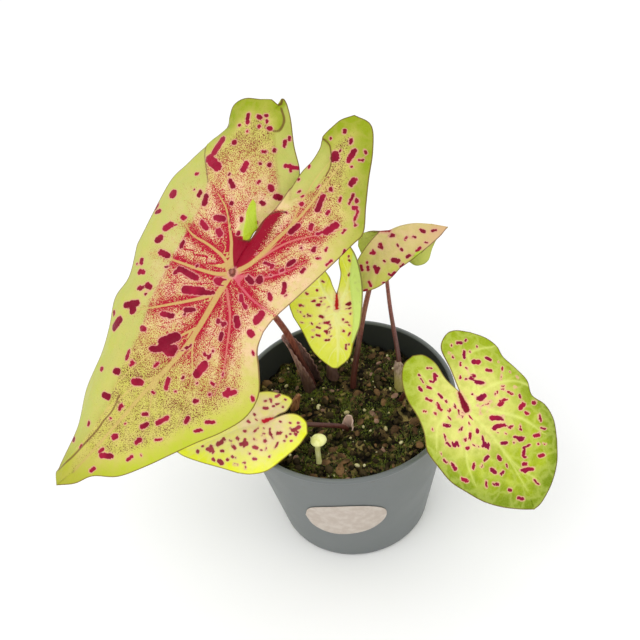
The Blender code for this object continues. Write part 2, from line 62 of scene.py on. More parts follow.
# The pot: a thin-walled tapered nursery pot, injection moulded in grey plastic with a rolled lip at the
# rim. It stands on a low foot ring, and six drain holes go through its floor.
RIM_R, FOOT_R, POT_H, WALL, FLOOR = 60.0, 43.0, 90.0, 1.6, 2.2


class Finish:
    """A procedural material under construction: each call adds one node and returns its result."""

    def __init__(self, name, roughness=0.5, **sockets):
        self.mat = bpy.data.materials.new(name)
        self.mat.use_nodes = True
        self.tree = self.mat.node_tree
        self.skin = self.tree.nodes["Principled BSDF"]
        self.skin.inputs["Roughness"].default_value = roughness
        for key, value in sockets.items():
            self.skin.inputs[key.replace("_", " ")].default_value = value

    def put(self, socket, value):
        if isinstance(value, bpy.types.NodeSocket):
            self.tree.links.new(value, socket)
        elif isinstance(value, (tuple, list)) and len(value) == 3 and socket.type == "RGBA":
            socket.default_value = (*value, 1.0)
        elif value is not None:
            socket.default_value = value

    def node(self, kind, values, **settings):
        made = self.tree.nodes.new("ShaderNode" + kind)
        for key, value in settings.items():
            setattr(made, key, value)
        for key, value in values.items():
            self.put(made.inputs[key], value)
        return made

    def math(self, op, a, b=None, c=None, clamp=False):
        return self.node("Math", {0: a, 1: b, 2: c}, operation=op, use_clamp=clamp).outputs[0]

    def fade(self, x, low, high, to_low=0.0, to_high=1.0):
        """to_low where x is below low, to_high where it is above high, and smooth between them."""
        return self.node("MapRange", {"Value": x, "From Min": low, "From Max": high, "To Min": to_low,
                                      "To Max": to_high}, interpolation_type="SMOOTHSTEP").outputs[0]

    def mix(self, share, a, b, how="MIX"):
        made = self.node("Mix", {0: share, 6: a, 7: b}, data_type="RGBA", blend_type=how)
        return made.outputs[2]

    def grain(self, where, scale, detail=3.0, rough=0.55, warp=0.0):
        return self.node("TexNoise", {"Vector": where, "Scale": scale, "Detail": detail, "Roughness": rough,
                                      "Distortion": warp}).outputs[0]

    def cells(self, where, scale, feature="F1", shuffle=1.0, out="Distance"):
        return self.node("TexVoronoi", {"Vector": where, "Scale": scale, "Randomness": shuffle},
                         feature=feature).outputs[out]

    def kept(self, name, out="Vector"):
        """A value that the mesh carries for each of its points."""
        return self.node("Attribute", {}, attribute_name=name).outputs[out]

    def split(self, vector):
        return self.node("SeparateXYZ", {0: vector}).outputs

    def stretch(self, vector, factors):
        return self.node("VectorMath", {0: vector, 1: factors}, operation="MULTIPLY").outputs[0]

    def where(self):
        """Place on the piece, in millimetres."""
        coords = self.node("TexCoord", {}).outputs["Object"]
        return self.stretch(coords, (1000.0, 1000.0, 1000.0))

    def relief(self, height, depth_mm, strength=1.0):
        made = self.node("Bump", {"Height": height, "Distance": depth_mm * MM, "Strength": strength})
        self.put(self.skin.inputs["Normal"], made.outputs[0])

    def colour(self, value):
        self.put(self.skin.inputs["Base Color"], value)

    def roughness(self, value):
        self.put(self.skin.inputs["Roughness"], value)


def mesh_piece(name, points, faces, smooth=True):
    """A new object from points in millimetres and faces."""
    mesh = bpy.data.meshes.new(name)
    mesh.from_pydata((np.asarray(points, dtype=float) * MM).tolist(), [], [list(f) for f in faces])
    mesh.validate()
    if smooth:
        mesh.shade_smooth()
    obj = bpy.data.objects.new(name, mesh)
    plant.objects.link(obj)
    return obj


def finished(obj, slot, *finishes, replaces=()):
    """Dresses a piece in its finishes and fixes it to the plant."""
    for finish in finishes:
        obj.data.materials.append(finish.mat)
    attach(obj, "root")
    if replaces:
        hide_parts(*replaces)
    return obj


def lathe(name, profile, steps):
    """A piece turned round the pot's axis from rows of (radius, height), from the top down the outside."""
    points, faces = [], []
    for r, z in profile:
        for k in range(steps):
            a = math.tau * k / steps
            points.append((r * math.cos(a), r * math.sin(a), z))
    for i in range(len(profile) - 1):
        for k in range(steps):
            n = (k + 1) % steps
            faces.append((i * steps + k, (i + 1) * steps + k, (i + 1) * steps + n, i * steps + n))
    return mesh_piece(name, points, faces)


def wall_radius(z):
    return FOOT_R + (RIM_R - FOOT_R) * z / POT_H


pot_finish = Finish("pot_grey_plastic", 0.42)
spot = pot_finish.where()
mottle = pot_finish.grain(spot, 0.04, 4.0)
tint = pot_finish.mix(mottle, (0.112, 0.124, 0.123), (0.143, 0.157, 0.155))
pot_height = pot_finish.split(spot)[2]
dust = pot_finish.math("MULTIPLY", pot_finish.fade(pot_finish.grain(spot, 0.5, 5.0), 0.55, 0.75),
                       pot_finish.fade(pot_height, 88.0, 60.0, 0.55, 0.1))
tint = pot_finish.mix(dust, tint, (0.12, 0.115, 0.095))
inner_radius = pot_finish.node("VectorMath", {0: pot_finish.stretch(spot, (1.0, 1.0, 0.0))},
                               operation="LENGTH").outputs["Value"]
outside = pot_finish.math("SUBTRACT", inner_radius, pot_finish.math("MULTIPLY_ADD", pot_height, 0.1889, 42.0))
# Painted shade: the inside of the pot, below the rim, is painted near-black for the shade that falls in it.
painted_shade_inside = pot_finish.math("MULTIPLY", pot_finish.fade(outside, 0.1, -0.5), pot_finish.fade(pot_height, 89.4, 88.4))
tint = pot_finish.mix(painted_shade_inside, tint, (0.030, 0.034, 0.031))
pot_finish.colour(tint)
pot_finish.roughness(pot_finish.fade(mottle, 0.2, 0.8, 0.36, 0.5))
pot_finish.relief(pot_finish.grain(spot, 1.4, 4.0), 0.06, 0.6)

outer = [(59.0, 90.0), (59.9, 89.95), (60.5, 89.6), (60.7, 89.0), (60.7, 88.2), (60.45, 87.6), (59.9, 87.2),
         (59.4, 86.7), (59.25, 86.0)]
outer += [(wall_radius(z), z) for z in np.linspace(84.0, 4.0, 21)]
outer += [(43.5, 2.6), (43.1, 1.4), (42.2, 0.45), (41.0, 0.0), (39.5, 0.0), (38.9, 0.5), (34.0, 0.5)]
inner = [(34.0, FLOOR), (wall_radius(FLOOR) - WALL - 2.0, FLOOR), (wall_radius(3) - WALL - 0.5, 2.7),
         (wall_radius(5) - WALL, 5.0)]
inner += [(wall_radius(z) - WALL, z) for z in np.linspace(9.0, 88.8, 22)]
inner += [(58.35, 89.6), (59.0, 90.0)]
pot = lathe("nursery_pot", outer + inner, 144)
finished(pot, "pot", pot_finish)

base = bpy.data.meshes.new("pot_base")
bm = bmesh.new()
for z, top in ((0.5, False), (FLOOR, True)):
    ring = [bm.verts.new((34.0 * MM * math.cos(math.tau * k / 144), 34.0 * MM * math.sin(math.tau * k / 144), z * MM))
            for k in range(144)]
    edges = [bm.edges.new((ring[k], ring[(k + 1) % 144])) for k in range(144)]
    for hole in range(6):
        a = math.tau * hole / 6
        loop = [bm.verts.new(((27.0 * math.cos(a) + 4.0 * math.cos(b)) * MM,
                              (27.0 * math.sin(a) + 4.0 * math.sin(b)) * MM, z * MM))
                for b in np.linspace(0, math.tau, 32, endpoint=False)]
        edges += [bm.edges.new((loop[k], loop[(k + 1) % 32])) for k in range(32)]
    made = bmesh.ops.triangle_fill(bm, edges=edges, use_beauty=True)
    for face in [f for f in made["geom"] if isinstance(f, bmesh.types.BMFace)]:
        if (face.normal.z > 0) != top:
            face.normal_flip()
bm.verts.ensure_lookup_table()
half = len(bm.verts) // 2
for hole in range(6):
    for k in range(32):
        a, b = 144 + hole * 32 + k, 144 + hole * 32 + (k + 1) % 32
        bm.faces.new([bm.verts[i] for i in (b, a, half + a, half + b)])
bm.to_mesh(base)
bm.free()
pot_base = bpy.data.objects.new("pot_base", base)
plant.objects.link(pot_base)
finished(pot_base, "pot", pot_finish)
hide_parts("pot")


# The sticker: a blank pebble-shaped piece of off-white paper, stuck flat on the sloping wall of the pot,
# with a slightly darker cut edge.
LABEL = [(-23, -2), (-20, 8), (-12, 14), (2, 17), (14, 14), (22, 6), (22, -4), (15, -12), (4, -16), (-9, -17),
         (-19, -12)]
LABEL_X, LABEL_Z = -8.0, 46.0


def spline(rows, count, ease=1.0):
    """A smooth curve through the rows, as count points along it, closer at the end if ease is below 1."""
    p = np.array(rows, dtype=float)
    ext = np.vstack([2 * p[0] - p[1], p, 2 * p[-1] - p[-2]])
    out = []
    for i in range(1, len(ext) - 2):
        a, b, c, d = ext[i - 1:i + 3]
        t = np.linspace(0, 1, 16, endpoint=False)[:, None]
        out.append(0.5 * (2 * b + (c - a) * t + (2 * a - 5 * b + 4 * c - d) * t ** 2
                          + (3 * b - a - 3 * c + d) * t ** 3))
    out = np.vstack(out + [p[-1:]])
    length = np.concatenate([[0], np.cumsum(np.linalg.norm(np.diff(out[:, :3], axis=0), axis=1))])
    at = np.linspace(0, 1, count) ** ease * length[-1]
    return np.stack([np.interp(at, length, out[:, k]) for k in range(out.shape[1])], axis=1)


label_outline = spline(LABEL + LABEL[:1], 97)[:-1]
label_points, label_faces = [], []
shares = [0.0, 0.2, 0.4, 0.6, 0.8, 0.93, 0.985, 1.0, 1.0, 0.93, 0.5, 0.0]
lifts = [0.30, 0.30, 0.30, 0.30, 0.30, 0.30, 0.28, 0.22, 0.05, 0.03, 0.03, 0.03]
for share, lift in zip(shares, lifts):
    for x, dz in label_outline:
        z = LABEL_Z + dz * share * 0.98
        r = wall_radius(z) + 0.28 + lift
        a = (LABEL_X + x * share) / r
        label_points.append((r * math.sin(a), -r * math.cos(a), z))
for i in range(len(shares) - 1):
    for k in range(96):
        n = (k + 1) % 96
        label_faces.append((i * 96 + k, i * 96 + n, (i + 1) * 96 + n, (i + 1) * 96 + k))
label = mesh_piece("blank_label", label_points, label_faces)
paper = Finish("label_paper", 0.72)
place = paper.where()
# Painted shade: the paper's two colours are darker than off-white, to stand for the shade that falls on the label.
paper.colour(paper.mix(paper.fade(paper.grain(place, 0.25, 5.0), 0.35, 0.7), (0.46, 0.39, 0.33), (0.54, 0.48, 0.42)))
paper.relief(paper.grain(place, 3.0, 5.0), 0.05, 0.5)
finished(label, "label", paper, replaces=["label"])


# The potting mix: damp peat and bark that fills the pot to a finger's width below the rim. Moss has
# spread over it in patches, with bark chips and a few grains of perlite on top.
SOIL_TOP = 76.0
soil_random = np.random.default_rng(11)


def lumps(x, y):
    h = 1.3 * np.sin(0.21 * x + 0.6) * np.cos(0.19 * y - 0.8)
    h += 0.8 * np.sin(0.43 * x - 0.35 * y + 1.1) + 0.6 * np.cos(0.52 * y + 0.3 * x)
    return h


def crumbs(x, y):
    """Finer crumbs of the mix: sums of turned waves, no two alike."""
    h = 0.0 * x
    waves = np.random.default_rng(5)
    for step in range(26):
        size = 1.1 + 0.19 * step
        a, phase = waves.uniform(0, math.tau, 2)
        h += 0.055 * size * np.sin((x * math.cos(a) + y * math.sin(a)) * 2.2 / size + phase)
    return h


def soil_height(x, y):
    r = np.hypot(x, y)
    top = SOIL_TOP + lumps(x, y) + 0.9 * crumbs(x, y)
    return top - 2.4 * np.clip((r - 50) / 5.5, 0, 1) ** 2


soil_r = wall_radius(SOIL_TOP) - WALL - 0.3
rings, around = 78, 300
reach, turn_at = np.meshgrid(np.arange(1, rings + 1) / rings * soil_r, np.arange(around) / around * math.tau,
                             indexing="ij")
soil_x, soil_y = (reach * np.cos(turn_at)).ravel(), (reach * np.sin(turn_at)).ravel()
soil_points = [(0.0, 0.0, float(soil_height(0.0, 0.0)))]
soil_points += np.stack([soil_x, soil_y, soil_height(soil_x, soil_y)], axis=1).tolist()
soil_faces = []
for k in range(around):
    soil_faces.append((0, 1 + k, 1 + (k + 1) % around))
for i in range(rings - 1):
    for k in range(around):
        n = (k + 1) % around
        a, b = 1 + i * around, 1 + (i + 1) * around
        soil_faces.append((a + k, b + k, b + n, a + n))
side_rows = [(wall_radius(z) - WALL - 0.3, z) for z in (66, 45, 24, 4)] + [(40, FLOOR + 0.3)]
start = 1 + (rings - 1) * around
for r, z in side_rows:
    ring_start = len(soil_points)
    for k in range(around):
        a = math.tau * k / around
        soil_points.append((r * math.cos(a), r * math.sin(a), z))
    for k in range(around):
        n = (k + 1) % around
        soil_faces.append((start + k, ring_start + k, ring_start + n, start + n))
    start = ring_start
soil_points.append((0, 0, FLOOR + 0.3))
for k in range(around):
    soil_faces.append((start + k, len(soil_points) - 1, start + (k + 1) % around))
soil = mesh_piece("potting_mix", soil_points, soil_faces)

hollow = np.zeros(len(soil_points))
for k, (x, y, z) in enumerate(soil_points):
    if z > SOIL_TOP - 6:
        hollow[k] = float(z - SOIL_TOP - lumps(x, y))
soil.data.attributes.new("rise", "FLOAT_VECTOR", "POINT").data.foreach_set(
    "vector", np.stack([hollow] * 3, axis=1).astype(np.float32).ravel())
mix_finish = Finish("damp_potting_mix", 0.85, Specular_IOR_Level=0.1)
spot = mix_finish.where()
rise = mix_finish.split(mix_finish.kept("rise"))[0]
crumb = mix_finish.cells(spot, 0.5)
fleck, tone, _ = mix_finish.split(mix_finish.cells(spot, 0.5, out="Color"))
fine = mix_finish.grain(spot, 0.9, 6.0, 0.65)
patch = mix_finish.grain(spot, 0.075, 3.0, 0.6)
tint = mix_finish.mix(mix_finish.fade(fine, 0.36, 0.68), (0.002, 0.0015, 0.001), (0.050, 0.032, 0.014))
tint = mix_finish.mix(mix_finish.fade(fleck, 0.55, 0.75), tint, (0.13, 0.085, 0.035))
tint = mix_finish.mix(mix_finish.fade(tone, 0.78, 0.88), tint, (0.30, 0.23, 0.08))
moss_cover = mix_finish.math("MULTIPLY", mix_finish.fade(patch, 0.46, 0.58),
                             mix_finish.fade(mix_finish.grain(spot, 0.5, 4.0), 0.40, 0.55))
moss_tint = mix_finish.mix(mix_finish.fade(mix_finish.grain(spot, 1.2, 3.0), 0.3, 0.7), (0.008, 0.014, 0.001),
                           (0.17, 0.20, 0.018))
tint = mix_finish.mix(moss_cover, tint, moss_tint)
# Painted shade: where the mix lies lower than its lumps, in the pits between crumbs, it is painted near-black for the
# shade that gathers there.
dark = mix_finish.math("MULTIPLY", mix_finish.fade(rise, 0.5, -0.7, 0.0, 0.92), mix_finish.fade(crumb, 0.2, 0.8, 0.75, 1.0))
tint = mix_finish.mix(dark, tint, (0.0015, 0.001, 0.001))
mix_finish.colour(tint)
mix_finish.roughness(mix_finish.fade(fine, 0.3, 0.7, 0.6, 0.95))
height = mix_finish.math("MULTIPLY_ADD", crumb, -0.8, fine)
mix_finish.relief(height, 1.2, 0.9)
finished(soil, "soil", mix_finish, replaces=["soil"])


def chip(bm, centre, size, turn, rough, seed):
    """One bark chip, perlite grain or clod: a lumpy faceted stone."""
    own = np.random.default_rng(seed)
    made = bmesh.ops.create_icosphere(bm, subdivisions=2, radius=1.0)
    waves = own.normal(size=(4, 3)) * 1.7
    shift = own.uniform(0, math.tau, 4)
    for v in made["verts"]:
        p = np.array(v.co)
        r = 1 + rough * float(np.sum(np.sin(waves @ p + shift))) / 3
        v.co = Vector(p * r)
    place_it = Matrix.Translation(Vector(centre) * MM) @ turn.to_4x4() @ Matrix.Diagonal((*[s * MM for s in size], 1))
    bmesh.ops.transform(bm, matrix=place_it, verts=made["verts"])


def any_turn(random, tilt):
    a, b, c = random.uniform(0, math.tau), random.normal() * tilt, random.normal() * tilt
    return Matrix.Rotation(a, 3, "Z") @ Matrix.Rotation(b, 3, "X") @ Matrix.Rotation(c, 3, "Y")


KEEP_CLEAR = [(-17, 24, 6.5), (-5, 28, 4.5), (6, 20, 3), (-1, -13, 4), (31, 3, 2.6), (32, 13, 4.5), (-29, 6, 3.6),
              (-18, -34, 2.4)]


def scattered(name, count, size, flat, tilt, rough, finish, seed, sink=0.25, reach=51.5):
    """Loose pieces lying on the mix, clear of the stems."""
    random = np.random.default_rng(seed)
    bm = bmesh.new()
    placed = 0
    while placed < count:
        r, a = reach * math.sqrt(random.uniform()), random.uniform(0, math.tau)
        x, y = r * math.cos(a), r * math.sin(a)
        s = size[0] + (size[1] - size[0]) * random.uniform() ** 2
        turn = any_turn(random, tilt)
        lengths = (s, s * random.uniform(0.5, 0.85), s * flat * random.uniform(0.7, 1.2))
        if any(math.hypot(x - u, y - v) < w + s for u, v, w in KEEP_CLEAR):
            continue
        z = float(soil_height(x, y)) + lengths[2] * (1 - 2 * sink)
        chip(bm, (x, y, z), lengths, turn, rough, int(random.integers(1 << 30)))
        placed += 1
    mesh = bpy.data.meshes.new(name)
    bm.to_mesh(mesh)
    bm.free()
    mesh.shade_smooth()
    mesh.set_sharp_from_angle(angle=math.radians(28))
    obj = bpy.data.objects.new(name, mesh)
    plant.objects.link(obj)
    return finished(obj, "soil", finish)


def loose_finish(name, dark, light, roughness, scale, depth):
    made = Finish(name, roughness, Specular_IOR_Level=0.15)
    spot = made.where()
    tone = made.grain(made.stretch(spot, (0.6, 1.0, 2.2)), scale, 5.0, 0.6)
    each = made.node("ObjectInfo", {}).outputs["Random"]
    big = made.grain(spot, 0.12, 1.0)
    share = made.math("ADD", made.math("MULTIPLY", made.fade(big, 0.35, 0.65), 0.55), made.math("MULTIPLY", tone, 0.5))
    made.colour(made.mix(share, dark, light))
    made.relief(tone, depth, 0.8)
    return made


bark = loose_finish("bark", (0.028, 0.015, 0.008), (0.27, 0.15, 0.065), 0.8, 0.9, 0.5)
pale_bark = loose_finish("pale_bark", (0.13, 0.07, 0.045), (0.42, 0.25, 0.18), 0.8, 0.9, 0.4)
clod = loose_finish("peat_clod", (0.004, 0.003, 0.002), (0.085, 0.060, 0.026), 0.95, 1.4, 0.6)
perlite = loose_finish("perlite", (0.46, 0.38, 0.16), (0.85, 0.80, 0.48), 0.9, 2.2, 0.3)
scattered("peat_clods", 260, (0.7, 2.6), 0.75, 0.5, 0.22, clod, 21)
scattered("bark_chips", 120, (0.9, 3.6), 0.38, 0.35, 0.16, bark, 22)
scattered("pale_bark_chips", 26, (0.8, 2.6), 0.38, 0.35, 0.16, pale_bark, 23)
scattered("perlite_grains", 60, (0.4, 1.2), 0.85, 0.8, 0.14, perlite, 24)


# Moss: short soft shoots that stand in cushions where the mix stays damp. Each shoot is a small
# three-sided spike, close enough together to read as a green pile.
moss_random = np.random.default_rng(31)
moss_points, moss_faces = [], []
tufts = 0
while tufts < 5200:
    r, a = 53.0 * math.sqrt(moss_random.uniform()), moss_random.uniform(0, math.tau)
    x, y = r * math.cos(a), r * math.sin(a)
    cover = math.sin(0.11 * x + 0.6) * math.cos(0.13 * y + 0.4) + 0.6 * math.sin(0.23 * x - 0.19 * y + 2.0)
    if cover + 0.5 * moss_random.normal() < 0.25 or any(math.hypot(x - u, y - v) < w for u, v, w in KEEP_CLEAR):
        continue
    tall = moss_random.uniform(0.7, 2.0)
    wide = moss_random.uniform(0.16, 0.3)
    lean = moss_random.normal(size=2) * 0.6
    z = float(soil_height(x, y)) - 0.2
    spin = moss_random.uniform(0, math.tau)
    start = len(moss_points)
    for k in range(3):
        b = spin + math.tau * k / 3
        moss_points.append((x + wide * math.cos(b), y + wide * math.sin(b), z))
    for k in range(3):
        b = spin + math.tau * (k + 0.5) / 3
        moss_points.append((x + lean[0] * 0.5 + wide * 1.25 * math.cos(b), y + lean[1] * 0.5 + wide * 1.25 * math.sin(b),
                            z + tall * 0.55))
    moss_points.append((x + lean[0], y + lean[1], z + tall))
    for k in range(3):
        n = (k + 1) % 3
        moss_faces += [(start + k, start + n, start + 3 + k), (start + n, start + 3 + n, start + 3 + k),
                       (start + 3 + k, start + 3 + n, start + 6)]
    tufts += 1
moss = mesh_piece("moss", moss_points, moss_faces)
moss_finish = Finish("moss", 0.7)
spot = moss_finish.where()
shade = moss_finish.grain(spot, 0.6, 4.0)
moss_finish.colour(moss_finish.mix(moss_finish.fade(shade, 0.3, 0.7), (0.010, 0.022, 0.002), (0.19, 0.23, 0.020)))
finished(moss, "soil", moss_finish)


# The tuber: a flattened corky tuber buried in the mix, from which every stem and root grows. Its brown
# skin has rings of old leaf scars.
tuber_points, tuber_faces = [], []
rows_down, cols = 40, 80
for i in range(rows_down + 1):
    lat = math.pi * i / rows_down
    for k in range(cols):
        a = math.tau * k / cols
        knob = 1 - 0.03 * abs(math.sin(6 * lat)) - 0.025 * (1 + math.sin(5 * a + 3 * lat)) * math.sin(lat)
        tuber_points.append((5 + 32 * knob * math.sin(lat) * math.cos(a), 8 + 25 * knob * math.sin(lat) * math.sin(a),
                             43 + 13 * knob * math.cos(lat)))
for i in range(rows_down):
    for k in range(cols):
        n = (k + 1) % cols
        tuber_faces.append((i * cols + k, (i + 1) * cols + k, (i + 1) * cols + n, i * cols + n))
tuber = mesh_piece("corm", tuber_points, tuber_faces)
cork = Finish("corky_skin", 0.9)
spot = cork.where()
bark_tone = cork.grain(cork.stretch(spot, (1.0, 1.0, 2.5)), 0.35, 6.0, 0.65)
cork.colour(cork.mix(bark_tone, (0.06, 0.03, 0.015), (0.30, 0.17, 0.09)))
cork.relief(bark_tone, 0.8, 0.8)
finished(tuber, "tuber", cork, replaces=["tuber"])


# The camera: it stands where the photograph was taken from, above and in front of the pot and turned a
# little about its own line of sight. It is set up here because the marks on the blades are placed by it.
EYE = np.array((-8.39, -373.26, 482.47))
TILT, ROLL, LENS, FRAME = math.radians(42), math.radians(7), 985.0, 640.0

upward = np.array((0.0, math.sin(TILT), math.cos(TILT)))
back = np.array((0.0, -math.cos(TILT), math.sin(TILT)))
across = math.cos(ROLL) * np.array((1.0, 0.0, 0.0)) - math.sin(ROLL) * upward
rise = np.cross(back, across)
camera_axes = np.stack([across, rise, back])
camera_data = bpy.data.cameras.new("photo_view")
camera_data.lens = 36.0 * LENS / FRAME
camera_data.sensor_width = 36.0
camera_data.clip_end = 20.0
camera = bpy.data.objects.new("photo_view", camera_data)
plant.objects.link(camera)
camera.matrix_world = Matrix.Translation(Vector(EYE * MM)) @ Matrix(camera_axes.T.tolist()).to_4x4()
bpy.context.scene.camera = camera


def in_photo(points):
    """Where points show in the photograph, in its pixels, and how far from the camera they are."""
    local = (points - EYE) @ camera_axes.T
    depth = -local[:, 2]
    return FRAME / 2 + LENS * local[:, :2] * (1, -1) / depth[:, None], depth


# Loose bits on the mix: the larger grains, chips and straws that lie where the photograph shows them,
# between the stems and in front of them.
BITS = [
    (319, 408, 1.9, perlite), (346.5, 413, 1.7, perlite), (312, 400, 1.0, perlite), (357, 466, 1.6, perlite),
    (383, 448, 1.1, perlite), (290, 456, 1.3, perlite), (287, 387, 1.4, perlite), (401, 444, 1.5, perlite),
    (386, 430, 1.4, perlite), (371, 374, 1.5, pale_bark), (395, 396, 2.2, pale_bark), (332, 391, 1.6, pale_bark),
    (334, 407, 1.4, pale_bark), (372, 414, 2.6, pale_bark), (377, 421, 2.4, pale_bark), (414, 423, 3.4, bark),
    (419, 445, 3.2, bark), (325, 463, 3.0, bark), (341, 457, 2.6, bark), (302, 380, 1.8, pale_bark),
    (276, 392, 2.0, pale_bark), (310, 415, 1.8, bark), (371, 357, 2.4, bark), (388, 360, 2.0, pale_bark),
]
soil_spots = np.array(soil_points)
soil_spots = soil_spots[soil_spots[:, 2] > SOIL_TOP - 6]
soil_seen = in_photo(soil_spots)[0]
bit_random = np.random.default_rng(25)
for name, finish in (("perlite_bits", perlite), ("pale_bark_bits", pale_bark), ("bark_bits", bark)):
    bm = bmesh.new()
    for u, v, s, kind in BITS:
        if kind is finish:
            x, y, z = soil_spots[np.argmin(np.hypot(*(soil_seen - (u, v)).T))]
            flat = 0.8 if kind is perlite else 0.35
            chip(bm, (x, y, z + 0.5 * s * flat), (s, 0.7 * s, s * flat), any_turn(bit_random, 0.3), 0.15,
                 int(bit_random.integers(1 << 30)))
    bits = bpy.data.meshes.new(name)
    bm.to_mesh(bits)
    bm.free()
    bits.shade_smooth()
    bits.set_sharp_from_angle(angle=math.radians(28))
    bits = bpy.data.objects.new(name, bits)
    plant.objects.link(bits)
    finished(bits, "soil", finish)


